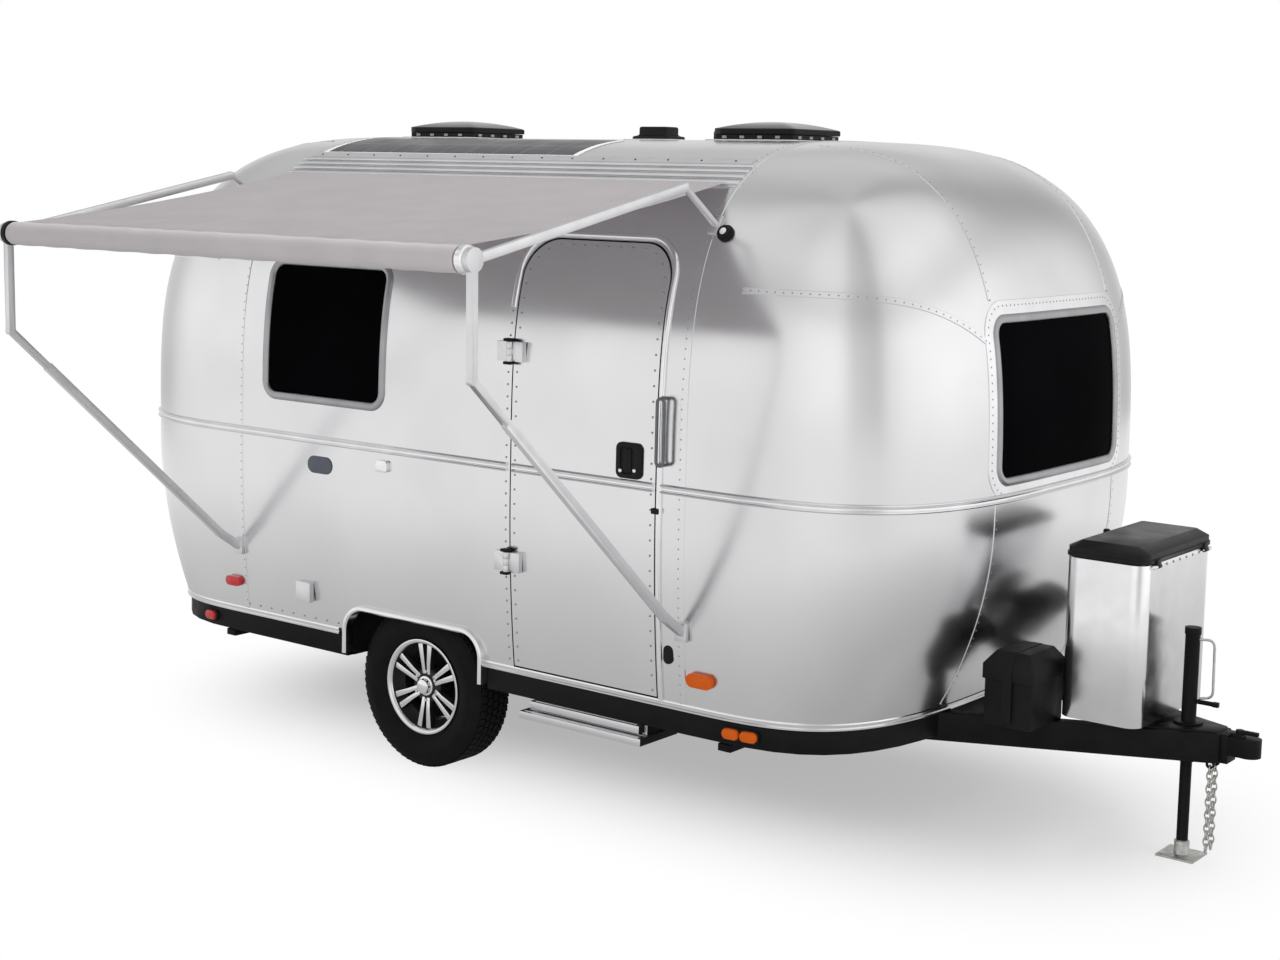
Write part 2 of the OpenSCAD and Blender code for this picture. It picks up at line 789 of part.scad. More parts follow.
// Two rails that meet in a nose block at the coupler, with a top plate that carries the jack
module a_frame() {
    plate_x = jack_x - 150;
    nose = 100;
    nose_w = 2 * rail_tip_y + 20;
    y_at = function (x) rail_tip_y + (rail_tip_x - x) * tan(rail_angle);
    placed() color([0.06, 0.06, 0.06]) difference() {
        union() {
            translate([0, 0, rail_top - rail_h]) linear_extrude(rail_h) {
                rail_plan(rail_w);
                translate([rail_tip_x + coupler_gap - nose, -nose_w / 2]) square([nose, nose_w]);
            }
            translate([0, 0, rail_top]) linear_extrude(plate_t) polygon([
                [plate_x, y_at(plate_x)], [rail_tip_x, rail_tip_y + 20],
                [rail_tip_x, -rail_tip_y - 20], [plate_x, -y_at(plate_x)]]);
        }
        translate([jack_x, 0, 0]) cylinder(r = jack_r + seat, h = jack_top);
    }
}

// Coupler: a pressed channel over the rails' tip with a round nose and the ball's socket under it
module coupler() {
    x0 = rail_tip_x + coupler_gap;
    nose_r = 46;
    top = rail_top - 8;
    low = rail_top - 78;
    ball_x = coupler_x - nose_r;
    placed() color([0.06, 0.06, 0.06]) difference() {
        union() {
            translate([0, 0, low]) linear_extrude(top - low) {
                translate([x0, -44]) square([ball_x - x0, 88]);
                translate([ball_x, 0]) circle(nose_r);
            }
            translate([x0, -24, top]) cube([ball_x - x0 - 20, 48, 14]);
            translate([ball_x - 36, 0, top]) cylinder(r = 16, h = 26);
            translate([ball_x - 36, -9, top + 12]) cube([70, 18, 14]);
        }
        translate([ball_x, 0, low - eps]) cylinder(r = ball_r, h = 50 + eps);
    }
}

module jack_post() {
    cap_h = 26;
    crank_z = rail_top + 96;
    placed() color([0.05, 0.05, 0.05]) {
        translate([jack_x, 0, tube_low]) cylinder(r = jack_r, h = jack_top - cap_h - tube_low);
        translate([jack_x, 0, jack_top - cap_h]) cylinder(r = jack_r + 3, h = cap_h);
        translate([jack_x, 0, rail_top + plate_t]) cylinder(r = jack_r + 26, h = 8);
        translate([jack_x, 0, crank_z]) rotate([0, 90, 0]) cylinder(r = 9, h = 96);
        translate([jack_x + 92, -9, crank_z - 9]) cube([22, 18, 18]);
    }
}

// Inner leg with its square foot, standing on the ground
module jack_leg() {
    foot_t = 8;
    leg_r = jack_r - 6;
    placed() color("gainsboro") {
        translate([jack_x, 0, foot_t]) cylinder(r = leg_r, h = tube_low - foot_t);
        translate([jack_x - foot_w / 2, -foot_w / 2, 0]) cube([foot_w, foot_w, foot_t]);
        translate([jack_x, 0, foot_t]) cylinder(r = leg_r + 7, h = 52);
    }
}

// Safety chains: stadium links hung one in the next
link_wire = 8;
link_in = 26;
link_w = 28;

module chain_link() {
    outer = link_in + 2 * link_wire;
    across(-link_wire / 2, link_wire / 2) difference() {
        rounded_rect(link_w, outer, link_w / 2 - 0.01);
        rounded_rect(link_w - 2 * link_wire, link_in, link_w / 2 - link_wire - 0.01);
    }
}

module safety_chains() {
    pitch = link_in - seat;
    tab_x = rail_tip_x - 30;
    tab_y = 26;
    low = rail_top - rail_h;
    hole_z = -18;
    hole_r = 9;
    first = hole_z - sqrt(hole_r * hole_r - link_wire * link_wire / 4) + seat - link_in / 2;
    placed() color("lightgray") both_sides() translate([tab_x, tab_y, low]) {
        across(-4, 4) difference() {
            translate([-16, -30]) square([32, 30]);
            translate([0, hole_z]) circle(hole_r);
        }
        for (k = [0 : chain_links - 1])
            translate([0, 0, first - k * pitch]) rotate([0, 0, k % 2 == 0 ? 90 : 0]) chain_link();
    }
}

/* Gas bottles and batteries */

gas_floor = rail_top + 40;
tray_t = 8;
gas_t = 6;
gas_r = 58;
gas_x = gas_front - gas_d / 2;
lid_hinge_x = gas_front + 10;
lid_hinge_z = gas_top - 8;
lid_lip = 6;
lid_pin_r = 4;
lid_knuckle = 34;
ear = 24;

module gas_outline(grow) {
    translate([gas_x, 0]) rounded_rect(gas_d + 2 * grow, gas_w + 2 * grow, gas_r + grow);
}

// Cover round the bottles, on a tray that bridges the rails; its front edge holds the lid's hinge pin
module gas_cover() {
    ear_r = 8;
    ear_root = lid_hinge_x - gas_front + gas_t / 2;
    placed() color("gainsboro") {
        translate([0, 0, gas_floor]) linear_extrude(gas_top - gas_floor) difference() {
            gas_outline(0);
            gas_outline(-gas_t);
        }
        translate([0, 0, gas_floor - tray_t]) linear_extrude(tray_t) gas_outline(0);
        both_sides() translate([gas_x - 60, 150, rail_top])
            cube([120, 60, gas_floor - tray_t / 2 - rail_top]);
        both_sides() translate([lid_hinge_x, gas_w / 2 - gas_r - ear, lid_hinge_z]) {
            rod_y(ear_r, 0, ear);
            translate([-ear_root, 0, -ear_r]) cube([ear_root, ear, ear_r]);
            rod_y(lid_pin_r, -lid_knuckle - 4, 0);
        }
    }
}

// Moulded lid with a double lip and a bevelled top, hinged along its front edge
module gas_lid() {
    lip_h = 34;
    top_h = 58;
    bevel = 46;
    knuckle_r = 8;
    z = gas_top + 5;
    placed() color([0.05, 0.05, 0.05]) {
        difference() {
            union() {
                translate([0, 0, z]) linear_extrude(14) gas_outline(lid_lip);
                translate([0, 0, z + 14]) linear_extrude(lip_h - 14) gas_outline(lid_lip - 5);
                hull() {
                    translate([0, 0, z + lip_h]) linear_extrude(eps) gas_outline(lid_lip - 5);
                    translate([0, 0, z + top_h]) linear_extrude(eps) gas_outline(-bevel);
                }
            }
            translate([0, 0, z - eps]) linear_extrude(lip_h - 4) gas_outline(-gas_t - 4);
        }
        both_sides() translate([lid_hinge_x, gas_w / 2 - gas_r - ear - 2 - lid_knuckle, lid_hinge_z])
            difference() {
            union() {
                rod_y(knuckle_r, 0, lid_knuckle);
                translate([-4, 0, 0]) cube([8, lid_knuckle, z + 14 - lid_hinge_z]);
            }
            rod_y(lid_pin_r + running, -eps, lid_knuckle + eps);
        }
    }
}

module gas_bottles() {
    r = 148;
    h = 330;
    dome = 60;
    placed() color("whitesmoke") for (s = [-1, 1]) translate([gas_x, s * 156, gas_floor]) rotate_extrude() {
        square([110, 20]);
        translate([0, 20]) polygon([[0, 0], [r - 20, 0], [r, 24], [r, h], [r - 28, h + 40],
            [70, h + dome], [0, h + dome]]);
        translate([70, h + 70]) square([8, 80]);
        translate([0, h + 70]) square([26, 70]);
    }
}

battery_len = 196;
battery_w = 270;
battery_h = 285;
battery_in = 250;

// Two strapped battery boxes on the rails, behind the gas cover
module battery_boxes() {
    x = gas_x - gas_d / 2 - battery_len - 16;
    placed() color([0.06, 0.06, 0.06]) both_sides() translate([x, battery_in, rail_top]) {
        cube([battery_len, battery_w, battery_h * 0.62]);
        translate([-8, -8, battery_h * 0.62]) cube([battery_len + 16, battery_w + 16, battery_h * 0.2]);
        hull() {
            translate([-8, -8, battery_h * 0.82]) cube([battery_len + 16, battery_w + 16, eps]);
            translate([30, 30, battery_h]) cube([battery_len - 60, battery_w - 60, eps]);
        }
    }
}

/* Awning */

// Ribs on the cover rail, from its lower edge up, and the fabric's span from the lowest rib to the roller
rail_base = 5;
rib_r = 9;
rib_count = 4;
function rib_point(k) = row_point(rail_row + (slat_row - rail_row) * (k + 0.5) / rib_count, -rib_r - seat);
fabric_in = rib_point(0) + [rib_r + seat, 0];
fabric_out = [roller_y, roller_z + roller_r + seat];

// Ribbed cover rail on the roof's edge
module awning_rail() {
    placed() color("gainsboro") on_side(false) {
        side_slab(awning_rear - 20, awning_front + 40, -rail_base, 0, rail_row, slat_row);
        along(awning_rear - 20, awning_front + 40)
            for (k = [0 : rib_count - 1]) translate(rib_point(k)) circle(rib_r);
    }
}

function fabric_point(s, lift) = fabric_in * (1 - s) + fabric_out * s + [0, lift - fabric_sag * 4 * s * (1 - s)];

// Fabric from the rail over the roller's top
module awning_fabric() {
    steps = 10;
    placed() color("rosybrown") on_side(false) along(awning_rear + 12, awning_front - 12) polygon(concat(
        [for (k = [0 : steps]) fabric_point(k / steps, fabric_t)],
        [for (k = [steps : -1 : 0]) fabric_point(k / steps, 0)]));
}

roller_cap = 22;
arm_t = 26;

module awning_roller() {
    placed() color("gray") on_side(false) {
        translate([awning_rear, roller_y, roller_z]) rotate([0, 90, 0])
            cylinder(r = roller_r, h = awning_front - awning_rear);
        for (x = [awning_rear - roller_cap, awning_front]) translate([x, roller_y, roller_z]) rotate([0, 90, 0])
            cylinder(r = roller_r + 6, h = roller_cap);
    }
}

// Rear faces of the arms and rafters, one pair beyond each end of the roller
arm_xs = [awning_rear - roller_cap - arm_t - seat, awning_front + roller_cap + seat];
roller_at = [roller_y, roller_z];

knee_out = 205;
knee_up = 140;

// Rafters: a foot on the wall's top edge, a short link up to the knee, and a bar out to the roller's end
module awning_rafters() {
    foot_t = 10;
    lift = foot_t / 2 + seat;
    foot_low = row_point(split_row - 1, -lift);
    foot_high = row_point(split_row, -lift);
    foot = (foot_low + foot_high) / 2;
    knee = foot + [knee_out, knee_up];
    tip = roller_at + (knee - roller_at) / norm(knee - roller_at) * (roller_r + seat);
    margin = 2;
    placed() color("gainsboro") on_side(false) for (x = arm_xs) {
        along(x + margin, x + arm_t - margin) {
            bar(foot, knee, 20);
            bar(knee, tip, arm_w);
            translate(knee) circle(18);
        }
        along(x - 8, x + arm_t + 8) bar(foot_low, foot_high, foot_t);
    }
}

// Arms: a base on the wall, a bend just outside it, a long bar to the elbow, and a short one up to the roller
arm_base_up = 290;
arm_bend = [110, 367];
arm_elbow = [-6, -396];

module awning_arms() {
    base_z = sill_z + arm_base_up;
    base = [side_half(base_z) + 10, base_z];
    bend = [half_w, sill_z] + arm_bend;
    elbow = roller_at + arm_elbow;
    joint = bend * 0.16 + elbow * 0.84;
    placed() color("gainsboro") on_side(false) for (x = arm_xs) {
        along(x, x + arm_t) difference() {
            union() {
                bar(base, bend, arm_w);
                translate(bend) circle(arm_w / 2 + 2);
                bar(bend, joint, arm_w);
                bar(joint, elbow, arm_w - 8);
                translate(elbow) circle(arm_w / 2);
                bar(elbow, roller_at, arm_w - 4);
                translate(roller_at) circle(roller_r);
            }
            translate([0, base_z - 60]) square([side_half(base_z + 60) + 4, 160]);
        }
        along(x - 14, x + arm_t + 14) translate([side_half(base_z + 36) + seat, base_z - 36]) square([16, 72]);
    }
}

/* Roof */

// Solar film on the roof behind the antenna
solar_in = 30;
solar_front = 494;
film_t = 4;

module solar_panel() {
    placed() color([0.09, 0.09, 0.12]) on_side(false)
        side_slab(-rear_seam + solar_in, solar_front, -film_t, 0, film_row, solar_row);
}

antenna_x = 372;
antenna_foot = [200, 140, 18];
antenna_box = [150, 104, 42];

module roof_antenna() {
    placed() color([0.06, 0.06, 0.06]) translate([antenna_x, 0, roof_z]) {
        translate([-antenna_foot.x / 2, -antenna_foot.y / 2, 0]) cube(antenna_foot);
        translate([-antenna_box.x / 2, -antenna_box.y / 2, antenna_foot.z]) cube(antenna_box);
    }
}

vent_hinge_r = 4;
vent_hinge_z = roof_z + vent_base_h + 8;
vent_hinge_out = vent_w / 2 + 12;

// Base frames of the two roof vents, each with a hinge pin between two lugs at its rear edge
module vent_frames() {
    hole = vent_w - 70;
    lug = 20;
    placed() color([0.08, 0.08, 0.08]) for (x = [vent_rear_x, vent_front_x]) translate([x, 0, 0]) {
        translate([0, 0, roof_z]) linear_extrude(vent_base_h) difference() {
            rounded_rect(vent_w, vent_w, 30);
            rounded_rect(hole, hole, 20);
        }
        translate([-vent_hinge_out, 0, 0]) for (s = [-1, 1]) translate([0, s * 150, 0]) {
            translate([-8, -lug / 2, roof_z]) cube([22, lug, vent_base_h - 2]);
            translate([-8, -lug / 2, roof_z]) cube([16, lug, vent_hinge_z - roof_z]);
            translate([0, 0, vent_hinge_z]) rod_y(8, -lug / 2, lug / 2);
        }
        translate([-vent_hinge_out, 0, vent_hinge_z]) rod_y(vent_hinge_r, -150, 150);
    }
}

// Domed lid with a knuckle that turns on the base's hinge pin
module vent_lid(x) {
    seal = roof_z + vent_base_h + 2;
    skirt = 24;
    dome_r = (pow(vent_w / 2, 2) + pow(vent_lid_h - skirt, 2)) / (2 * (vent_lid_h - skirt));
    wall = 5;
    knuckle = 120;
    placed() color([0.1, 0.1, 0.12]) translate([x, 0, 0]) difference() {
        union() {
            difference() {
                intersection() {
                    translate([0, 0, seal]) linear_extrude(vent_lid_h) rounded_rect(vent_w + 6, vent_w + 6, 36);
                    translate([0, 0, seal + vent_lid_h - dome_r]) sphere(dome_r, $fn = 360);
                }
                translate([0, 0, seal - eps]) linear_extrude(skirt)
                    rounded_rect(vent_w - 2 * wall, vent_w - 2 * wall, 30);
            }
            translate([-vent_hinge_out, 0, vent_hinge_z]) {
                rod_y(9, -knuckle, knuckle);
                translate([0, -knuckle, -2]) cube([14, 2 * knuckle, 11]);
            }
        }
        translate([-vent_hinge_out, 0, vent_hinge_z]) rod_y(vent_hinge_r + running, -vent_w, vent_w);
    }
}

module vent_lid_rear() { vent_lid(vent_rear_x); }
module vent_lid_front() { vent_lid(vent_front_x); }

/* Lamps and fittings */

// A pill-shaped lamp on the side of a cap, a little past its seam
module side_lamp(seam, dir, len, past, z, w, h) {
    y = cap_skin(past - w / 2 + h / 2, z + h / 2, len) + seat;
    translate([seam + dir * past, y, z]) across(0, 20) rounded_rect(w, h, h / 2 - 0.01);
}

// Lamps: how far past the seam, height above the sill, width and height
red_lamp = [64, 119, 96, 44];
amber_lamp = [91, 109, 120, 54];

module red_lamps() {
    placed() color("red") both_sides()
        side_lamp(-rear_seam, -1, tail_len, red_lamp[0], sill_z + red_lamp[1], red_lamp[2], red_lamp[3]);
}

module amber_lamps() {
    placed() color("orange") both_sides()
        side_lamp(front_seam, 1, nose_len, amber_lamp[0], sill_z + amber_lamp[1], amber_lamp[2], amber_lamp[3]);
}

// Porch lamp past the front seam, tilted to lie on the skin there
porch_past = 69;
porch_share = 0.726;
porch_r = 34;

module porch_lamp() {
    z = belt_z + porch_share * rise;
    skin = function (dz) cap_skin(porch_past - porch_r, z + dz, nose_len);
    lean = atan((skin(-porch_r) - skin(porch_r)) / (2 * porch_r));
    y = max([for (k = [-4 : 4]) let (dz = porch_r * cos(lean) * k / 4) skin(dz) + dz * tan(lean)]);
    placed() color([0.1, 0.1, 0.1]) on_side(false)
        translate([front_seam + porch_past, y, z]) rotate([lean, 0, 0]) {
            rod_y(porch_r, seat, 12);
            rod_y(porch_r - 8, 12, 26);
        }
}

// Two treads of the folded entry step, under the sill at the door
step_in = 290;
step_out = 30;
step_d = 250;
step_w = 560;
step_x = 90;
tread_t = 30;

module entry_step() {
    x = door_rear + step_x;
    y = half_w - step_in;
    placed() color("gainsboro") on_side(false) {
        translate([x, y, pan_z - tread_t - 4]) cube([step_w, step_d, tread_t]);
        translate([x - step_out, y + step_out, pan_z - 2 * tread_t - 14])
            cube([step_w + 2 * step_out, step_d, tread_t]);
        for (s = [0, 1]) translate([x - 12 + s * step_w, y + 10, pan_z - 80]) cube([24, step_d - 50, 80]);
    }
}

// Stabiliser jacks folded up under the corners
jack_in = 520;
jack_len = 380;
jack_bar = [60, 30];

module stabilisers() {
    w = jack_bar.x;
    h = jack_bar.y;
    placed() color([0.08, 0.08, 0.08]) both_sides() for (x = [-rear_seam - 250, front_seam + 100])
        translate([x, half_w - jack_in, pan_z - 2 * h]) {
            cube([w, jack_len, h]);
            translate([0, 0, h]) cube([w, jack_len / 3, h]);
            translate([8, jack_len - 80, h]) cube([w - 16, w, h]);
        }
}

// Oval plate, catch and square vent on the curb side, service hatch on the street side
plate_at = [-532, -110];
plate_size = [150, 76];
catch_at = [-148, -73];
catch_size = [70, 50];
outlet_at = [-638, 139];
outlet_w = 90;
hatch_at = [700, -280];
hatch_size = [420, 360];

module side_fittings() {
    seat_y = half_w + seat;
    outlet_z = sill_z + outlet_at.y;
    placed() color("gray") {
        on_side(false) {
            translate([plate_at.x, seat_y, belt_z + plate_at.y]) across(0, 4)
                rounded_rect(plate_size.x, plate_size.y, plate_size.y / 2 - 0.1);
            translate([catch_at.x, seat_y, belt_z + catch_at.y]) across(0, 16)
                rounded_rect(catch_size.x, catch_size.y, 14);
            translate([outlet_at.x, side_half(outlet_z + outlet_w / 2) + seat, outlet_z]) across(0, 26)
                rounded_rect(outlet_w, outlet_w, 6);
        }
        intersection() {
            side_slab(hatch_at.x - hatch_size.x, hatch_at.x + hatch_size.x, -6, 0, 0, low_rows);
            translate([hatch_at.x, 0, belt_z + hatch_at.y]) across(half_w / 2, body_w)
                rounded_rect(hatch_size.x, hatch_size.y, 40);
        }
    }
}

a_frame();
coupler();
jack_post();
jack_leg();
safety_chains();
belly_pan();
floor_deck();
sill_rail();
axle();
wheel_wells();
hub_curb();
hub_street();
rim_curb();
rim_street();
tyre_curb();
tyre_street();
front_cap();
rear_cap();
curb_wall();
street_wall();
roof_panel();
belt_moulding();
arch_trims();
window_frames();
window_glass();
door_panel();
door_belt();
door_latch();
door_hinge_leaves();
wall_hinge_leaves();
grab_handle();
awning_rail();
awning_fabric();
awning_roller();
awning_rafters();
awning_arms();
solar_panel();
roof_antenna();
vent_frames();
vent_lid_rear();
vent_lid_front();
gas_cover();
gas_lid();
gas_bottles();
battery_boxes();
red_lamps();
amber_lamps();
porch_lamp();
entry_step();
stabilisers();
side_fittings();
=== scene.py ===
"""Looks of a travel caravan: riveted polished shell, side awning, wheels, tongue and roof gear."""
import json
import logging
import math
from dataclasses import dataclass, field
from enum import Enum
from typing import Any, Callable, Iterable, Sequence

import bmesh
import bpy
import numpy as np
from bpy.types import ID, Material, Mesh, MeshPolygon, Node, NodeSocket, NodeTree, Object, Scene
from mathutils import Euler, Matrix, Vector, noise


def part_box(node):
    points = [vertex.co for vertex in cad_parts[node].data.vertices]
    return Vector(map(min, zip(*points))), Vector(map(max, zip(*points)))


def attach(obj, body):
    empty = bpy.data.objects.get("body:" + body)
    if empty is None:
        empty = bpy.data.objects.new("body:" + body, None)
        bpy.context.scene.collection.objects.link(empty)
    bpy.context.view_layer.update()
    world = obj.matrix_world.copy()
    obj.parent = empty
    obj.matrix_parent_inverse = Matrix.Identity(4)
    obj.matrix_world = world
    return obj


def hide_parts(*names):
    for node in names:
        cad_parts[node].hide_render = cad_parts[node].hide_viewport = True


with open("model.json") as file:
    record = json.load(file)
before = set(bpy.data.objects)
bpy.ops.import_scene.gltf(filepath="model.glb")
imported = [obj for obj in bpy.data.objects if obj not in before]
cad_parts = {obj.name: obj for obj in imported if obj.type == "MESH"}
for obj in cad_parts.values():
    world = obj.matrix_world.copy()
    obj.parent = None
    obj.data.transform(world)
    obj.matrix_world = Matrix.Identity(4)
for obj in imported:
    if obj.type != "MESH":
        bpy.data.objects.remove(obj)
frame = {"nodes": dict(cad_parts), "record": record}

LOG = logging.getLogger("caravan")
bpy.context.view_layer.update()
Point = Sequence[float]
Triple = tuple[float, float, float]
Line = list[tuple[float, float]]
Profile = tuple[tuple[float, float], ...]
Row = tuple[Point, Point]
Form = tuple[list, list]

BEHAVIOUR = frame["record"]["behaviour"]
PIN_OF = {joint["child"]: joint["pos_m"] for joint in BEHAVIOUR["joints"]}
BODY_OF = {n: body for body, nodes in BEHAVIOUR["bodies"].items() for n in nodes}
SLOT_OF = {row["node"]: row["material_slot"] for row in frame["record"]["subparts"]}
TRAILER = "trailer"
DOOR = "door"
QUARTER = math.pi / 2
GREY = (0.5, 0.5, 0.5, 1)
WHITE = (1, 1, 1, 1)


class Side(Enum):
    """The two long sides of the shell, with the sign of Y there."""

    CURB = -1
    STREET = 1


class End(Enum):
    """The two end caps, with the sign of X there."""

    REAR = -1
    FRONT = 1


class Shape(Enum):
    """What a scatter tree puts on each point."""

    DOME = "dome"
    BLOCK = "block"
    LINK = "link"


class Pattern(Enum):
    """The fine relief of a finish."""

    CLOUDY = "cloudy"
    DRAWN = "drawn"
    MOULDED = "moulded"
    WOVEN = "woven"
    CELLS = "cells"


# Node trees

class Graph:
    """A node tree that is written one node a call."""

    def __init__(self, tree: NodeTree) -> None:
        """Keeps the tree."""
        self.tree = tree

    def feed(self, node: Node, inputs: dict[Any, Any]) -> None:
        """Sets or links a node's inputs.

        Args:
            node: The node.
            inputs: A value, a socket, or a node for its first output, by the input's name or number.
        """
        for label, value in inputs.items():
            if isinstance(value, Node):
                value = value.outputs[0]
            if isinstance(value, NodeSocket):
                self.tree.links.new(value, node.inputs[label])
            else:
                node.inputs[label].default_value = value

    def add(self, kind: str, inputs: dict[Any, Any] | None = None, **settings: Any) -> Node:
        """Adds a node.

        Args:
            kind: The node's type.
            inputs: What goes into it, as for feed.
            settings: Its properties, which are set first.

        Returns:
            The node.
        """
        node = self.tree.nodes.new(kind)
        for label, value in settings.items():
            setattr(node, label, value)
        self.feed(node, inputs or {})
        return node

    def math(self, operation: str, *inputs: Any, **settings: Any) -> Node:
        """Adds a Math node."""
        return self.add("ShaderNodeMath", dict(enumerate(inputs)), operation=operation, **settings)

    def group(self, tree: NodeTree, inputs: dict[Any, Any]) -> Node:
        """Places a shader group."""
        return self.add("ShaderNodeGroup", inputs, node_tree=tree)

    @classmethod
    def start(cls, name: str, inputs: dict[str, Any], outputs: Sequence[str]) -> tuple["Graph", Any]:
        """Starts a shader group.

        Args:
            name: The group's name.
            inputs: Defaults by name, whose form gives the socket's kind.
            outputs: Names, of which Color is a colour and the rest are values.

        Returns:
            The group's graph and the sockets that its inputs come in by.
        """
        tree = bpy.data.node_groups.new(name, "ShaderNodeTree")
        for label, value in inputs.items():
            kind = "Float" if isinstance(value, float) else "Color" if len(value) == 4 else "Vector"
            socket = tree.interface.new_socket(label, in_out="INPUT", socket_type="NodeSocket" + kind)
            socket.default_value = value
        for label in outputs:
            kind = "Color" if label == "Color" else "Float"
            tree.interface.new_socket(label, in_out="OUTPUT", socket_type="NodeSocket" + kind)
        graph = cls(tree)
        return graph, graph.add("NodeGroupInput").outputs

    def close(self, outputs: dict[str, Any]) -> NodeTree:
        """Links a group's outputs and gives its tree."""
        self.add("NodeGroupOutput", outputs)
        return self.tree


class Effects:
    """Shader groups that several finishes share, each built once."""

    def __init__(self) -> None:
        """Builds the groups."""
        self.mottle = self.build_mottle()
        self.grain = self.build_grain()
        self.weave = self.build_weave()
        self.cells = self.build_cells()

    @staticmethod
    def build_mottle() -> NodeTree:
        """Uneven colour and gloss, as of handling, dust and polishing.

        Returns:
            The group.
        """
        defaults = {"Vector": (0, 0, 0), "Color": GREY, "Shade": GREY, "Scale": 6.0, "Amount": 0.3,
                    "Roughness": 0.4, "Spread": 0.1}
        graph, given = Graph.start("Mottle", defaults, ("Color", "Roughness", "Height"))
        cloud = graph.add("ShaderNodeTexNoise", {"Vector": given["Vector"], "Scale": given["Scale"],
                                                 "Detail": 2.0})
        clear = graph.add("ShaderNodeMapRange", {"Value": cloud, "From Min": 0.2, "From Max": 0.8},
                          interpolation_type="SMOOTHSTEP")
        share = graph.math("MULTIPLY", clear, given["Amount"])
        mix = graph.add("ShaderNodeMix", {"Factor": share, "A": given["Color"], "B": given["Shade"]},
                        data_type="RGBA")
        gloss = graph.math("MULTIPLY_ADD", clear, given["Spread"], given["Roughness"])
        return graph.close({"Color": mix.outputs["Result"], "Roughness": gloss, "Height": cloud})

    @staticmethod
    def build_grain() -> NodeTree:
        """Fine drawn or moulded grain, stretched along one axis.

        Returns:
            The group.
        """
        defaults = {"Vector": (0, 0, 0), "Stretch": (1, 1, 1), "Scale": 200.0, "Detail": 2.0}
        graph, given = Graph.start("Grain", defaults, ("Height",))
        drawn = graph.add("ShaderNodeVectorMath", {0: given["Vector"], 1: given["Stretch"]},
                          operation="MULTIPLY")
        cloud = graph.add("ShaderNodeTexNoise", {"Vector": drawn, "Detail": given["Detail"],
                                                 "Scale": given["Scale"]})
        return graph.close({"Height": cloud})

    @staticmethod
    def build_weave() -> NodeTree:
        """Plain weave of two thread directions on a piece's own UV map, in threads a metre.

        Returns:
            The group.
        """
        graph, given = Graph.start("Weave", {"Vector": (0, 0, 0), "Threads": 900.0}, ("Height",))
        threads = {"Vector": given["Vector"], "Scale": given["Threads"], "Distortion": 0.6, "Detail": 1.0}
        waves = [graph.add("ShaderNodeTexWave", threads, bands_direction=way).outputs["Fac"]
                 for way in ("X", "Y")]
        return graph.close({"Height": graph.math("MULTIPLY", *waves)})

    @staticmethod
    def build_cells() -> NodeTree:
        """Thin pale lines between dark cells, from a brick pattern with no offset.

        Returns:
            The group.
        """
        defaults = {"Vector": (0, 0, 0), "Cell": GREY, "Line": GREY, "Scale": 1.0}
        graph, given = Graph.start("Cells", defaults, ("Color", "Height"))
        bricks = graph.add("ShaderNodeTexBrick", {
            "Vector": given["Vector"], "Scale": given["Scale"], "Color1": given["Cell"],
            "Color2": given["Cell"],
            "Mortar": given["Line"], "Mortar Size": 0.006, "Brick Width": 0.155, "Row Height": 0.155},
            offset=0.0)
        return graph.close({"Color": bricks.outputs["Color"], "Height": bricks.outputs["Fac"]})


EFFECTS = Effects()


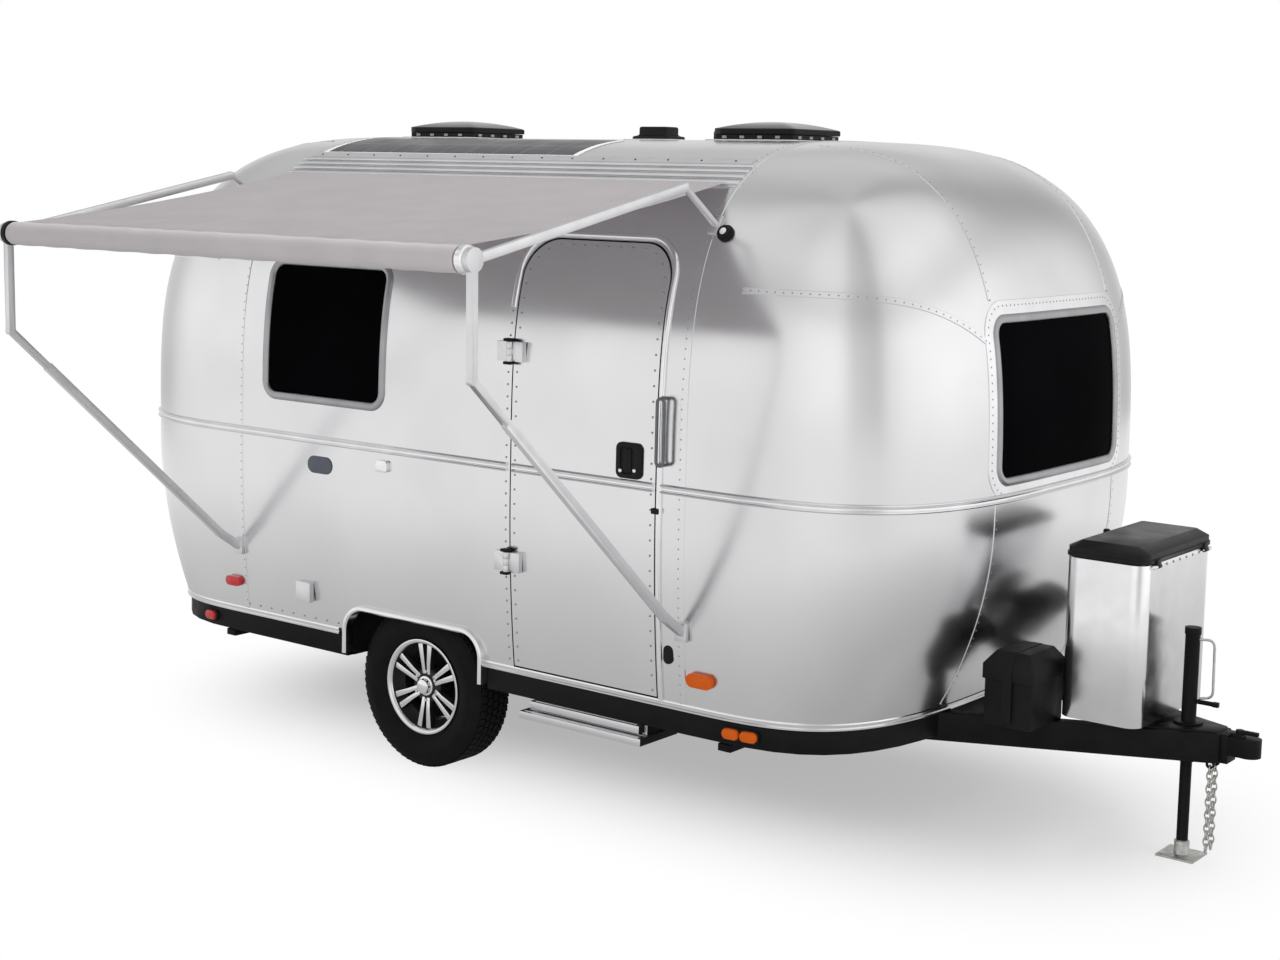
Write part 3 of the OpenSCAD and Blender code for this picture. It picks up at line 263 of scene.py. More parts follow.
@dataclass(frozen=True)
class Finish:
    """One surface finish, made into a node material on first use."""

    name: str
    color: Triple
    shade: Triple
    roughness: float
    spread: float = 0.08
    metallic: float = 0.0
    scale: float = 7.0
    amount: float = 0.4
    pattern: Pattern = Pattern.CLOUDY
    grain: float = 240.0
    stretch: Triple = (1.0, 1.0, 1.0)
    relief: float = 0.08
    waves: float = 0.0
    coat: float = 0.0
    sheen: float = 0.0
    ior: float = 1.5
    translucent: float = 0.0

    def material(self) -> Material:
        """The finish's material, built the first time it is asked for."""
        return bpy.data.materials.get(self.name + "_look") or self.build()

    def build(self) -> Material:
        """Builds the node tree.

        Returns:
            The new material.
        """
        material = bpy.data.materials.new(self.name + "_look")
        material.use_nodes = True
        graph = Graph(material.node_tree)
        shader = graph.tree.nodes["Principled BSDF"]
        place = graph.add("ShaderNodeTexCoord").outputs
        color, shade = (*self.color, 1), (*self.shade, 1)
        mottle = graph.group(EFFECTS.mottle, {
            "Vector": place["Object"], "Color": color, "Shade": shade, "Scale": self.scale,
            "Amount": self.amount, "Roughness": self.roughness, "Spread": self.spread}).outputs
        base = mottle["Color"]
        if self.pattern is Pattern.WOVEN:
            fine = graph.group(EFFECTS.weave, {"Vector": place["UV"], "Threads": self.grain})
        elif self.pattern is Pattern.CELLS:
            fine = graph.group(EFFECTS.cells, {"Vector": place["UV"], "Cell": color, "Line": shade})
            base = fine.outputs["Color"]
        else:
            fine = graph.group(EFFECTS.grain, {"Vector": place["Object"], "Stretch": self.stretch,
                                               "Scale": self.grain})
        bump = graph.add("ShaderNodeBump", {"Strength": self.relief, "Distance": 0.001,
                                            "Height": fine.outputs["Height"]})
        if self.waves > 0:
            bump = self.add_waves(graph, place["Object"], bump)
        graph.feed(shader, {"Base Color": base, "Roughness": mottle["Roughness"], "Normal": bump,
                            "Metallic": self.metallic, "Coat Weight": self.coat, "Sheen Weight": self.sheen,
                            "IOR": self.ior})
        if self.translucent > 0:
            through = graph.add("ShaderNodeBsdfTranslucent", {"Color": base})
            mix = graph.add("ShaderNodeMixShader", {"Fac": self.translucent, 1: shader, 2: through})
            graph.feed(graph.tree.nodes["Material Output"], {"Surface": mix})
        return material

    def add_waves(self, graph: Graph, where: NodeSocket, before: Node) -> Node:
        """Adds the slow waves and small dents of thin sheet metal.

        Args:
            graph: The material's graph.
            where: Object coordinates.
            before: The bump node that comes first.

        Returns:
            The last bump node.
        """
        for scale, distance, upright in ((1.7, 0.02, 1.0), (6.5, 0.003, 0.6)):
            wave = graph.group(EFFECTS.grain, {"Vector": where, "Scale": scale, "Stretch": (1, 1, upright),
                                               "Detail": 0.0})
            before = graph.add("ShaderNodeBump", {"Strength": self.waves, "Distance": distance, "Height": wave,
                                                  "Normal": before})
        return before


# Finishes

SKIN = Finish("polished_skin", (0.80, 0.80, 0.81), (0.70, 0.70, 0.71), 0.19, 0.06, 1.0, 2.2, 0.5,
              relief=0.0, waves=0.2)
BRIGHT = Finish("bright_extrusion", (0.86, 0.86, 0.87), (0.74, 0.74, 0.75), 0.16, 0.1, 1.0, 9.0, 0.4,
                Pattern.DRAWN, 300.0, (0.03, 1.0, 1.0), 0.006)
SATIN = Finish("satin_aluminium", (0.76, 0.76, 0.77), (0.64, 0.64, 0.65), 0.3, 0.12, 1.0, 8.0, 0.4,
               Pattern.DRAWN, 260.0, (1.0, 1.0, 0.06), 0.01)
RIVET = Finish("rivet_metal", (0.44, 0.44, 0.45), (0.30, 0.30, 0.31), 0.28, 0.12, 1.0, 30.0, 0.5)
GREY_FRAME = Finish("grey_window_frame", (0.42, 0.42, 0.43), (0.30, 0.30, 0.31), 0.32, 0.1, 0.9, 9.0, 0.4)
CHROME = Finish("chrome", (0.88, 0.88, 0.89), (0.75, 0.75, 0.76), 0.06, 0.06, 1.0, 20.0, 0.3)
ZINC = Finish("zinc_plate", (0.66, 0.66, 0.63), (0.45, 0.45, 0.43), 0.32, 0.2, 1.0, 45.0, 0.6, relief=0.12)
BLACK_PAINT = Finish("black_chassis_paint", (0.004, 0.004, 0.0045), (0.012, 0.0115, 0.011), 0.36, 0.2, 0.0,
                     12.0, 0.5, Pattern.MOULDED, 340.0, relief=0.05, ior=1.22)
BLACK_PLASTIC = Finish("black_plastic", (0.006, 0.006, 0.0065), (0.015, 0.015, 0.016), 0.42, 0.15, 0.0, 14.0,
                       0.5, Pattern.MOULDED, 520.0, relief=0.06, ior=1.25)
BLACK_LID = Finish("gloss_black_lid", (0.010, 0.010, 0.011), (0.02, 0.02, 0.021), 0.3, 0.1, 0.0, 10.0, 0.5,
                   Pattern.MOULDED, 420.0, relief=0.03, ior=1.22)
RUBBER = Finish("tyre_rubber", (0.006, 0.006, 0.006), (0.016, 0.0155, 0.015), 0.62, 0.2, 0.0, 18.0, 0.6,
                Pattern.MOULDED, 260.0, relief=0.12, ior=1.2)
CAST = Finish("cast_hub", (0.12, 0.115, 0.11), (0.2, 0.15, 0.11), 0.6, 0.2, 0.6, 30.0, 0.6, relief=0.3)
MACHINED = Finish("machined_alloy", (0.82, 0.82, 0.83), (0.70, 0.70, 0.71), 0.17, 0.08, 1.0, 14.0, 0.4,
                  Pattern.DRAWN, 500.0, relief=0.012)
POCKET = Finish("dark_wheel_paint", (0.016, 0.016, 0.018), (0.035, 0.035, 0.037), 0.38, 0.12, 0.2, 14.0, 0.4,
                ior=1.35)
GLASS = Finish("dark_glass", (0.002, 0.002, 0.0025), (0.004, 0.004, 0.005), 0.03, 0.03, 0.0, 3.0, 0.5,
               relief=0.0, ior=1.02)
HANDLE = Finish("grey_handle", (0.14, 0.143, 0.15), (0.10, 0.102, 0.108), 0.34, 0.1, 0.4, 20.0, 0.4)
CLOTH = Finish("taupe_awning_cloth", (0.40, 0.376, 0.388), (0.345, 0.324, 0.336), 0.82, 0.1, 0.0, 5.0, 0.5,
               Pattern.WOVEN, 330.0, relief=0.35, sheen=0.15, translucent=0.2)
# Painted light: the wound cloth is the sheet's own fabric, made lighter to stand in for light on the roll.
PAINTED_LIGHT_CLOTH_ROLL = Finish("wound_awning_cloth", (0.49, 0.464, 0.475), (0.43, 0.405, 0.415), 0.82, 0.1, 0.0, 5.0, 0.5,
                    Pattern.DRAWN, 90.0, (0.1, 1.0, 1.0), 0.2, sheen=0.15)
SOLAR = Finish("solar_film", (0.020, 0.020, 0.028), (0.07, 0.07, 0.08), 0.28, 0.1, 0.0, 6.0, 0.4, Pattern.CELLS)
SEALANT = Finish("pale_sealant", (0.70, 0.70, 0.69), (0.60, 0.60, 0.58), 0.6, 0.1, 0.0, 20.0, 0.5, relief=0.3)
SMOKED = Finish("smoked_dome", (0.014, 0.015, 0.024), (0.028, 0.03, 0.045), 0.08, 0.08, 0.0, 6.0, 0.4, ior=1.35)
WHITE_PAINT = Finish("white_tank_paint", (0.80, 0.80, 0.78), (0.72, 0.72, 0.69), 0.35, 0.1, 0.0, 9.0, 0.4)
RED_LENS = Finish("red_lens", (0.62, 0.008, 0.014), (0.45, 0.004, 0.008), 0.12, 0.06, 0.0, 40.0, 0.5, coat=0.4)
AMBER_LENS = Finish("amber_lens", (0.68, 0.115, 0.006), (0.58, 0.09, 0.004), 0.2, 0.06, 0.0, 40.0, 0.5,
                    ior=1.25)
GREY_PLASTIC = Finish("grey_plastic", (0.30, 0.305, 0.32), (0.22, 0.225, 0.235), 0.4, 0.12, 0.0, 16.0, 0.4)
PLATE_BLUE = Finish("slate_plate", (0.10, 0.11, 0.14), (0.07, 0.08, 0.10), 0.35, 0.1, 0.3, 20.0, 0.4)
FLOOR_PLY = Finish("floor_ply", (0.36, 0.28, 0.20), (0.26, 0.20, 0.14), 0.5, 0.1, 0.0, 9.0, 0.6,
                   Pattern.DRAWN, 60.0, (0.05, 1.0, 1.0), 0.15)


# Mesh helpers

def to_mesh(name: str, form: Form) -> Mesh:
    """A mesh with merged doubles and outward faces.

    Args:
        name: The mesh's name.
        form: Points in metres, in the part's frame, and faces by index.

    Returns:
        The mesh.
    """
    mesh = bpy.data.meshes.new(name)
    mesh.from_pydata([tuple(v) for v in form[0]], [], [tuple(f) for f in form[1]])
    work = bmesh.new()
    work.from_mesh(mesh)
    bmesh.ops.remove_doubles(work, verts=work.verts, dist=1e-5)
    bmesh.ops.dissolve_degenerate(work, edges=work.edges, dist=1e-6)
    bmesh.ops.recalc_face_normals(work, faces=work.faces)
    work.to_mesh(mesh)
    work.free()
    return mesh


def shade(mesh: Mesh, degrees: float) -> Mesh:
    """Smooths a mesh but for its sharp edges.

    Args:
        mesh: The mesh.
        degrees: Edges sharper than this stay.

    Returns:
        The same mesh.
    """
    mesh.shade_smooth()
    mesh.set_sharp_from_angle(angle=math.radians(degrees))
    return mesh


def link(name: str, data: ID | None) -> Object:
    """Makes an object of a mesh, lamp or camera and links it.

    Args:
        name: The object's name.
        data: The mesh, lamp or camera.

    Returns:
        The object.
    """
    obj = bpy.data.objects.new(name, data)
    bpy.context.scene.collection.objects.link(obj)
    return obj


def add_piece(name: str, mesh: Mesh, finishes: Sequence[Finish], body: str, slot: str,
              replaces: Sequence[str] = ()) -> Object:
    """Links a finished mesh as a piece of the object.

    Args:
        name: The piece's name.
        mesh: Its mesh, in place.
        finishes: One finish for each material index.
        body: The body that it moves with.
        slot: The record's material slot; not used.
        replaces: Nodes that it stands for.

    Returns:
        The new object.
    """
    obj = link(name, mesh)
    if mesh.materials:
        mesh.materials.clear()
    for finish in finishes:
        mesh.materials.append(finish.material())
    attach(obj, body)
    if replaces:
        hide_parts(*replaces)
    LOG.info("piece %s on %s: %d faces", name, body, len(mesh.polygons))
    return obj


def solid(name: str, form: Form, finish: Finish, body: str, slot: str, replaces: Sequence[str] = (),
          degrees: float = 35.0) -> Object:
    """A piece of one finish from points and faces, smooth but for edges sharper than an angle."""
    return add_piece(name, shade(to_mesh(name, form), degrees), [finish], body, slot, replaces)


def baked(obj: Object) -> Mesh:
    """Applies an object's modifiers and removes the object.

    Args:
        obj: The object.

    Returns:
        Its mesh.
    """
    graph = bpy.context.evaluated_depsgraph_get()
    graph.update()
    mesh = bpy.data.meshes.new_from_object(obj.evaluated_get(graph), preserve_all_data_layers=True,
                                           depsgraph=graph)
    bpy.data.objects.remove(obj)
    return mesh


def carved(mesh: Mesh, cutters: Sequence[Mesh], operation: str = "DIFFERENCE") -> Mesh:
    """A closed mesh with others cut from it, or met with them.

    Args:
        mesh: The closed mesh.
        cutters: Closed meshes.
        operation: The boolean's name.

    Returns:
        The new mesh.
    """
    obj = link("carve", mesh)
    helpers = [link("cutter", cutter) for cutter in cutters]
    for helper in helpers:
        step = obj.modifiers.new("cut", "BOOLEAN")
        step.object, step.operation, step.solver = helper, operation, "EXACT"
    result = baked(obj)
    for helper in helpers:
        bpy.data.objects.remove(helper)
    return result


def rounded(mesh: Mesh, width: float, segments: int, degrees: float) -> Mesh:
    """A mesh with its sharp edges rounded.

    Args:
        mesh: The mesh.
        width: The rounding's width.
        segments: Its steps.
        degrees: Edges sharper than this are rounded.

    Returns:
        The new mesh, shaded smooth.
    """
    obj = link("rounding", mesh)
    step = obj.modifiers.new("round", "BEVEL")
    step.width, step.segments, step.limit_method = width, segments, "ANGLE"
    step.angle_limit = math.radians(degrees)
    return shade(baked(obj), degrees)


def ring_faces(count: int, here: int, there: int) -> list[tuple[int, ...]]:
    """Faces between two rings of points, given by their first indices."""
    return [(here + j, here + (j + 1) % count, there + (j + 1) % count, there + j) for j in range(count)]


def sweep(rows: Iterable[Row], profile: Line, closed: bool = False) -> Form:
    """Runs a closed profile along a path.

    Args:
        rows: The path's points, each with the outward direction there.
        profile: Pairs of distance out and distance to the side.
        closed: Whether the path is a loop.

    Returns:
        Points and faces.
    """
    path, out = (np.array(column, float) for column in zip(*rows))
    along = np.roll(path, -1, 0) - np.roll(path, 1, 0) if closed else np.gradient(path, axis=0)
    along /= np.linalg.norm(along, axis=1)[:, None]
    side = np.cross(along, out)
    side /= np.linalg.norm(side, axis=1)[:, None]
    out = np.cross(side, along)
    count, rings = len(profile), len(path)
    verts = [path[k] + out[k] * a + side[k] * b for k in range(rings) for a, b in profile]
    faces = []
    for k in range(rings if closed else rings - 1):
        faces += ring_faces(count, k * count, (k + 1) % rings * count)
    if not closed:
        faces += [tuple(range(count)), tuple(range(len(verts) - count, len(verts)))]
    return verts, faces


def joined(forms: Iterable[Form]) -> Form:
    """Several lists of points and faces as one.

    Args:
        forms: The lists.

    Returns:
        All points and faces.
    """
    verts, faces = [], []
    for some, those in forms:
        faces += [tuple(i + len(verts) for i in f) for f in those]
        verts += list(some)
    return verts, faces


def lathe(profile: Line, centre: Point = (0, 0, 0), turns: int = 64, sign: int = 1) -> Form:
    """Turns a closed profile about an axis along Y.

    Args:
        profile: Pairs of radius and Y from the centre.
        centre: The axis point.
        turns: Steps round.
        sign: Sign of Y.

    Returns:
        Points and faces.
    """
    verts, faces = [], []
    for k in range(turns):
        c, s = math.cos(2 * math.pi * k / turns), math.sin(2 * math.pi * k / turns)
        verts += [(centre[0] + r * c, centre[1] + sign * y, centre[2] + r * s) for r, y in profile]
        faces += ring_faces(len(profile), k * len(profile), (k + 1) % turns * len(profile))
    return verts, faces


def arc(centre: tuple[float, float], radius: float, start: float, stop: float, count: int) -> Line:
    """Points of a drawn arc between two angles."""
    return [(centre[0] + radius * math.cos(a), centre[1] + radius * math.sin(a))
            for a in np.linspace(start, stop, count)]


def disc(radius: float, steps: int) -> Line:
    """A round profile."""
    return arc((0, 0), radius, 0, 2 * math.pi, steps + 1)[:-1]


def rounded_rect(width: float, height: float, radius: float, steps: int = 10) -> Line:
    """A closed rounded rectangle about the origin, with points along its straight sides.

    Args:
        width: Its width.
        height: Its height.
        radius: Radius of its corners.
        steps: Steps round a corner.

    Returns:
        The points, counter-clockwise.
    """
    points = []
    for k, (sx, sy) in enumerate(((1, 1), (-1, 1), (-1, -1), (1, -1))):
        corner = (sx * (width / 2 - radius), sy * (height / 2 - radius))
        points += arc(corner, radius, k * QUARTER, (k + 1) * QUARTER, steps + 1)
    return spaced(points, 0.03, True)


def spaced(points: Line, gap: float, closed: bool) -> Line:
    """A drawn line with extra points.

    Args:
        points: The line's corners.
        gap: The longest stretch without a point.
        closed: Whether it is a loop.

    Returns:
        The points.
    """
    result = []
    for here, there in zip(points, points[1:] + points[:1] if closed else points[1:]):
        parts = max(1, math.ceil(math.dist(here, there) / gap))
        result += [tuple(np.array(here) + (np.array(there) - np.array(here)) * i / parts) for i in range(parts)]
    return result if closed else result + [tuple(points[-1])]


def bead(width: float, height: float, steps: int = 8, foot: float = -0.004) -> Line:
    """A half-round profile that stands on the surface, with its foot sunk a little."""
    arch = [(height * math.sin(a), width / 2 * math.cos(a)) for a in np.linspace(0, math.pi, steps + 1)]
    return [(foot, width / 2), *arch, (foot, -width / 2)]


def mirrored(half: Line) -> Line:
    """A profile from its upper half, with the lower half its mirror image."""
    return half + [(a, -b) for a, b in reversed(half)]


def lap(width: float, height: float) -> Line:
    """A thin sheet's edge profile with small bevels."""
    return mirrored([(-0.003, width / 2), (height * 0.3, width / 2), (height, width / 2 - height * 0.7)])


def block(low: Point, high: Point, round_by: float) -> Mesh:
    """A box with rounded edges.

    Args:
        low: Its lowest corner.
        high: Its highest corner.
        round_by: Width of the rounding.

    Returns:
        The mesh.
    """
    work = bmesh.new()
    bmesh.ops.create_cube(work, size=1.0)
    for vert in work.verts:
        vert.co = Vector([low[k] + (high[k] - low[k]) * (vert.co[k] + 0.5) for k in range(3)])
    bmesh.ops.bevel(work, geom=work.edges, offset=round_by, segments=3, profile=0.5, affect="EDGES")
    mesh = bpy.data.meshes.new("block")
    work.to_mesh(mesh)
    work.free()
    return mesh


def pill(centre: Point, out: Point, size: Triple, corner: float) -> Mesh:
    """A rounded plate that stands out from an upright surface.

    Args:
        centre: Middle of its foot.
        out: Horizontal direction that it stands out in.
        size: Width, height and thickness.
        corner: Radius of its corners.

    Returns:
        The mesh.
    """
    away = Vector(out).normalized()
    side = Vector((0, 0, 1)).cross(away).normalized()
    up = away.cross(side)
    width, height, thick = size
    edge = min(thick, corner) * 0.6
    levels = [(-0.003, 0.0), (thick - edge, 0.0), (thick - edge * 0.4, edge * 0.18),
              (thick - edge * 0.1, edge * 0.45), (thick, edge)]
    verts, faces = [], []
    for lift, inset in levels:
        ring = rounded_rect(width - 2 * inset, height - 2 * inset, max(0.0015, corner - inset), 8)
        verts += [Vector(centre) + side * a + up * b + away * lift for a, b in ring]
    count = len(verts) // len(levels)
    for k in range(len(levels) - 1):
        faces += ring_faces(count, k * count, (k + 1) * count)
    faces += [tuple(range(count)), tuple(range(len(verts) - count, len(verts)))]
    return to_mesh("pill", (verts, faces))


def merged(name: str, meshes: Iterable[Mesh]) -> Mesh:
    """Several meshes as one, smooth but for sharp edges.

    Args:
        name: The new mesh's name.
        meshes: The meshes, which are removed.

    Returns:
        The new mesh.
    """
    work = bmesh.new()
    for mesh in meshes:
        work.from_mesh(mesh)
        bpy.data.meshes.remove(mesh)
    result = bpy.data.meshes.new(name)
    work.to_mesh(result)
    work.free()
    return shade(result, 35.0)


def tube(path: Sequence[Point], radius: float, steps: int = 10) -> Form:
    """A round rod along a path."""
    out = np.cross(np.gradient(np.array(path, float), axis=0), (0.31, 0.87, 0.38))
    return sweep(zip(path, out / np.linalg.norm(out, axis=1)[:, None]), disc(radius, steps))


def bowed(corners: Sequence[Point], radius: float, steps: int = 6) -> list[np.ndarray]:
    """A path with rounded corners.

    Args:
        corners: The corners.
        radius: How far from a corner its rounding begins.
        steps: Points on each rounding.

    Returns:
        The path's points.
    """
    points = [np.array(c, float) for c in corners]
    path = [points[0]]
    for before, here, after in zip(points, points[1:], points[2:]):
        back, ahead = before - here, after - here
        cut = min(radius, np.linalg.norm(back) / 2, np.linalg.norm(ahead) / 2)
        a, b = here + back / np.linalg.norm(back) * cut, here + ahead / np.linalg.norm(ahead) * cut
        path += [(1 - t) ** 2 * a + 2 * t * (1 - t) * here + t ** 2 * b for t in np.linspace(0, 1, steps)]
    return path + [points[-1]]


def facing_out(path: Sequence[np.ndarray], across: Point, middle: Point) -> list[Row]:
    """A flat path's points with the directions away from its middle.

    Args:
        path: The points.
        across: Direction square to the path's plane.
        middle: A point that the path goes round.

    Returns:
        Points and directions.
    """
    rows = []
    for point, along in zip(path, np.gradient(np.array(path), axis=0)):
        out = np.cross(along, across)
        rows.append((point, out if out @ (point - np.array(middle)) > 0 else -out))
    return rows


def lay_flat(mesh: Mesh, place: Callable) -> None:
    """Gives a mesh a UV map.

    Args:
        mesh: The mesh.
        place: Takes a point's number and returns its place.
    """
    layer = mesh.uv_layers.new(name="UVMap")
    for loop in mesh.loops:
        layer.data[loop.index].uv = place(loop.vertex_index)


def repaint(piece: Object, finishes: Sequence[Finish], choose: Callable) -> None:
    """Gives a piece several finishes, chosen face by face.

    Args:
        piece: The piece.
        finishes: The finishes, in the order of their index.
        choose: Takes a face and returns its index.
    """
    piece.data.materials.clear()
    for finish in finishes:
        piece.data.materials.append(finish.material())
    for face in piece.data.polygons:
        face.material_index = choose(face)


class Scatter:
    """Geometry Nodes trees that put one shape on every point of a mesh and realize it."""

    trees: dict[Shape, NodeTree] = {}

    @classmethod
    def tree(cls, shape: Shape) -> NodeTree:
        """The tree for a shape, built on first use.

        Args:
            shape: What goes on each point.

        Returns:
            The node tree, with inputs Geometry, Size and Material.
        """
        if shape in cls.trees:
            return cls.trees[shape]
        tree = bpy.data.node_groups.new(f"scatter_{shape.value}", "GeometryNodeTree")
        for label, way, kind in (("Geometry", "INPUT", "Geometry"), ("Size", "INPUT", "Vector"),
                                 ("Material", "INPUT", "Material"), ("Geometry", "OUTPUT", "Geometry")):
            tree.interface.new_socket(label, in_out=way, socket_type="NodeSocket" + kind)
        graph = Graph(tree)
        given = graph.add("NodeGroupInput").outputs
        aim, along = [graph.add("GeometryNodeInputNamedAttribute", {"Name": name}, data_type="FLOAT_VECTOR")
                      for name in ("aim", "along")]
        turn = graph.add("FunctionNodeAxesToRotation",
                         {0: aim.outputs["Attribute"], 1: along.outputs["Attribute"]},
                         primary_axis="Z", secondary_axis="X")
        size = graph.add("GeometryNodeTransform", {"Geometry": cls.one(graph, shape), "Scale": given["Size"]})
        place = graph.add("GeometryNodeInstanceOnPoints", {"Points": given["Geometry"], "Instance": size,
                                                           "Rotation": turn})
        real = graph.add("GeometryNodeRealizeInstances", {"Geometry": place})
        smooth = graph.add("GeometryNodeSetShadeSmooth", {"Geometry": real,
                                                          "Shade Smooth": shape is not Shape.BLOCK})
        paint = graph.add("GeometryNodeSetMaterial", {"Geometry": smooth, "Material": given["Material"]})
        cls.trees[shape] = graph.close({"Geometry": paint})
        return cls.trees[shape]

    @staticmethod
    def one(graph: Graph, shape: Shape) -> Node:
        """The mesh of one copy, of unit size.

        Args:
            graph: The tree's graph.
            shape: What to make.

        Returns:
            The node whose first output is the mesh.
        """
        if shape is Shape.DOME:
            return graph.add("GeometryNodeMeshUVSphere", {"Segments": 8, "Rings": 4})
        if shape is Shape.BLOCK:
            return graph.add("GeometryNodeMeshCube")
        loop = graph.add("GeometryNodeCurvePrimitiveCircle", {"Resolution": 20})
        wire = graph.add("GeometryNodeCurvePrimitiveCircle", {"Resolution": 8, "Radius": 0.3})
        return graph.add("GeometryNodeCurveToMesh", {"Curve": loop, "Profile Curve": wire})

    @classmethod
    def place(cls, name: str, spots: Sequence[tuple[Point, Point, Point]], shape: Shape, size: Point,
              finish: Finish, body: str, slot: str, replaces: Sequence[str] = ()) -> Object:
        """Puts a shape on every spot and keeps the result as a plain mesh.

        Args:
            name: The piece's name.
            spots: Rows of place, outward direction and direction along.
            shape: What goes there.
            size: Its half sizes, or its scale.
            finish: Its finish.
            body: The body that it moves with.
            slot: The record's material slot; not used.
            replaces: Nodes that it stands for.

        Returns:
            The piece.
        """
        mesh = bpy.data.meshes.new(name + "_spots")
        mesh.from_pydata([tuple(p) for p, _, _ in spots], [], [])
        for label, column in (("aim", 1), ("along", 2)):
            data = mesh.attributes.new(label, "FLOAT_VECTOR", "POINT")
            data.data.foreach_set("vector", np.array([row[column] for row in spots], np.float32).ravel())
        obj = link(name, mesh)
        step = obj.modifiers.new("scatter", "NODES")
        step.node_group = cls.tree(shape)
        values = {"Size": tuple(size), "Material": finish.material()}
        for item in step.node_group.interface.items_tree:
            if item.in_out == "INPUT" and item.name in values:
                step[item.identifier] = values[item.name]
        return add_piece(name, baked(obj), [finish], body, slot, replaces)


# The shell's form

@dataclass
class ShellForm:
    """The shell's surface: a squarish arch in section with tucked-in sides, and squarish ends in plan."""

    half_w: float
    roof_z: float
    sill_z: float
    belt_z: float
    rear_x: float
    front_x: float
    nose: float
    tail: float
    wall: float = 0.045
    side_tuck: float = 0.044
    end_tuck: float = 0.205
    roof_n: float = 3.2
    end_n: float = 2.9
    plan_n: float = 3.5
    wall_top: float = math.radians(40)
    side_rise: float = 0.07
    tuck_drop: float = 0.08

    @classmethod
    def from_frame(cls) -> "ShellForm":
        """Reads the driving sizes from the frame's own boxes.

        Returns:
            The form.
        """
        wall_lo, wall_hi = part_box("street_wall")
        belt_lo, belt_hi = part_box("belt_moulding")
        return cls(half_w=wall_hi.y, roof_z=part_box("roof_panel")[1].z, sill_z=wall_lo.z,
                   belt_z=(belt_lo.z + belt_hi.z) / 2, rear_x=wall_lo.x, front_x=wall_hi.x,
                   nose=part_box("front_cap")[1].x - wall_hi.x, tail=wall_lo.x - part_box("rear_cap")[0].x)

    def tuck(self, z: float, amount: float) -> float:
        """How far a side is tucked in at a height."""
        top = self.belt_z - self.tuck_drop
        return amount * max(0.0, (top - z) / (top - self.sill_z)) ** 2

    def seam(self, end: End) -> float:
        """Where a cap meets the walls."""
        return self.front_x if end is End.FRONT else self.rear_x

    def half(self, z: float, inset: float = 0.0) -> float:
        """Half the shell's width at a height.

        Args:
            z: The height.
            inset: Depth below the surface.

        Returns:
            The half width.
        """
        spring = self.belt_z + self.side_rise
        if z < spring:
            return self.half_w - inset - self.tuck(z, self.side_tuck)
        t = min(1.0, (z - spring) / (self.roof_z - inset - spring))
        return (self.half_w - inset) * (1 - t ** self.roof_n) ** (1 / self.roof_n)

    def depth(self, z: float, end: End, inset: float = 0.0) -> float:
        """How far a cap reaches past its seam at a height.

        Args:
            z: The height.
            end: Which cap.
            inset: Depth below the surface.

        Returns:
            The reach.
        """
        length = (self.nose if end is End.FRONT else self.tail) - inset
        if z < self.belt_z:
            return length - self.tuck(z, self.end_tuck)
        t = min(1.0, (z - self.belt_z) / (self.roof_z - inset - self.belt_z))
        return length * (1 - t ** self.end_n) ** (1 / self.end_n)

    def rate(self, z: float, value: float, spring: float, tuck: float, n: float) -> float:
        """Slope over value of one of the two height curves.

        Args:
            z: The height.
            value: The curve's value there.
            spring: Height where the arch begins.
            tuck: How far the curve is tucked in at the sill.
            n: The arch's power.

        Returns:
            The slope over the value.
        """
        if z < spring:
            top = self.belt_z - self.tuck_drop
            return 2 * tuck * max(0.0, top - z) / (top - self.sill_z) ** 2 / value
        h = self.roof_z - spring
        t = min(1.0, (z - spring) / h)
        return -t ** (n - 1) / max(1e-9, 1 - t ** n) / h

    def normal(self, x: float, y: float, z: float) -> np.ndarray:
        """The outward direction at a point of the surface.

        Args:
            x: The point's X.
            y: Its Y.
            z: Its Z.

        Returns:
            The direction, of unit length.
        """
        end = End.FRONT if x > self.front_x else End.REAR
        past = max(0.0, x - self.front_x, self.rear_x - x)
        w = max(1e-4, self.half(z))
        w_rate = self.rate(z, w, self.belt_z + self.side_rise, self.side_tuck, self.roof_n)
        if past <= 1e-6:
            n = np.array([0.0, math.copysign(1 / w, y), -w_rate])
        else:
            d = max(1e-4, self.depth(z, end))
            d_rate = self.rate(z, d, self.belt_z, self.end_tuck, self.end_n)
            a, b, p = min(1.0, past / d), min(1.0, abs(y) / w), self.plan_n
            n = np.array([end.value * a ** (p - 1) / d, math.copysign(b ** (p - 1) / w, y),
                          -(a ** p * d_rate + b ** p * w_rate)])
        return n / np.linalg.norm(n)

    def on_side(self, x: float, z: float, side: Side) -> Row:
        """A point of a side wall and the direction out of it."""
        p = np.array([x, side.value * self.half(z), z])
        return p, self.normal(*p)

    def on_cap(self, y: float, z: float, end: End) -> Row:
        """A point of an end cap.

        Args:
            y: The point's Y.
            z: Its Z.
            end: Which cap.

        Returns:
            The point and the direction out of the cap.
        """
        share = min(1.0, abs(y) / max(1e-6, self.half(z)))
        past = self.depth(z, end) * (1 - share ** self.plan_n) ** (1 / self.plan_n)
        p = np.array([self.seam(end) + end.value * past, y, z])
        return p, self.normal(*p)

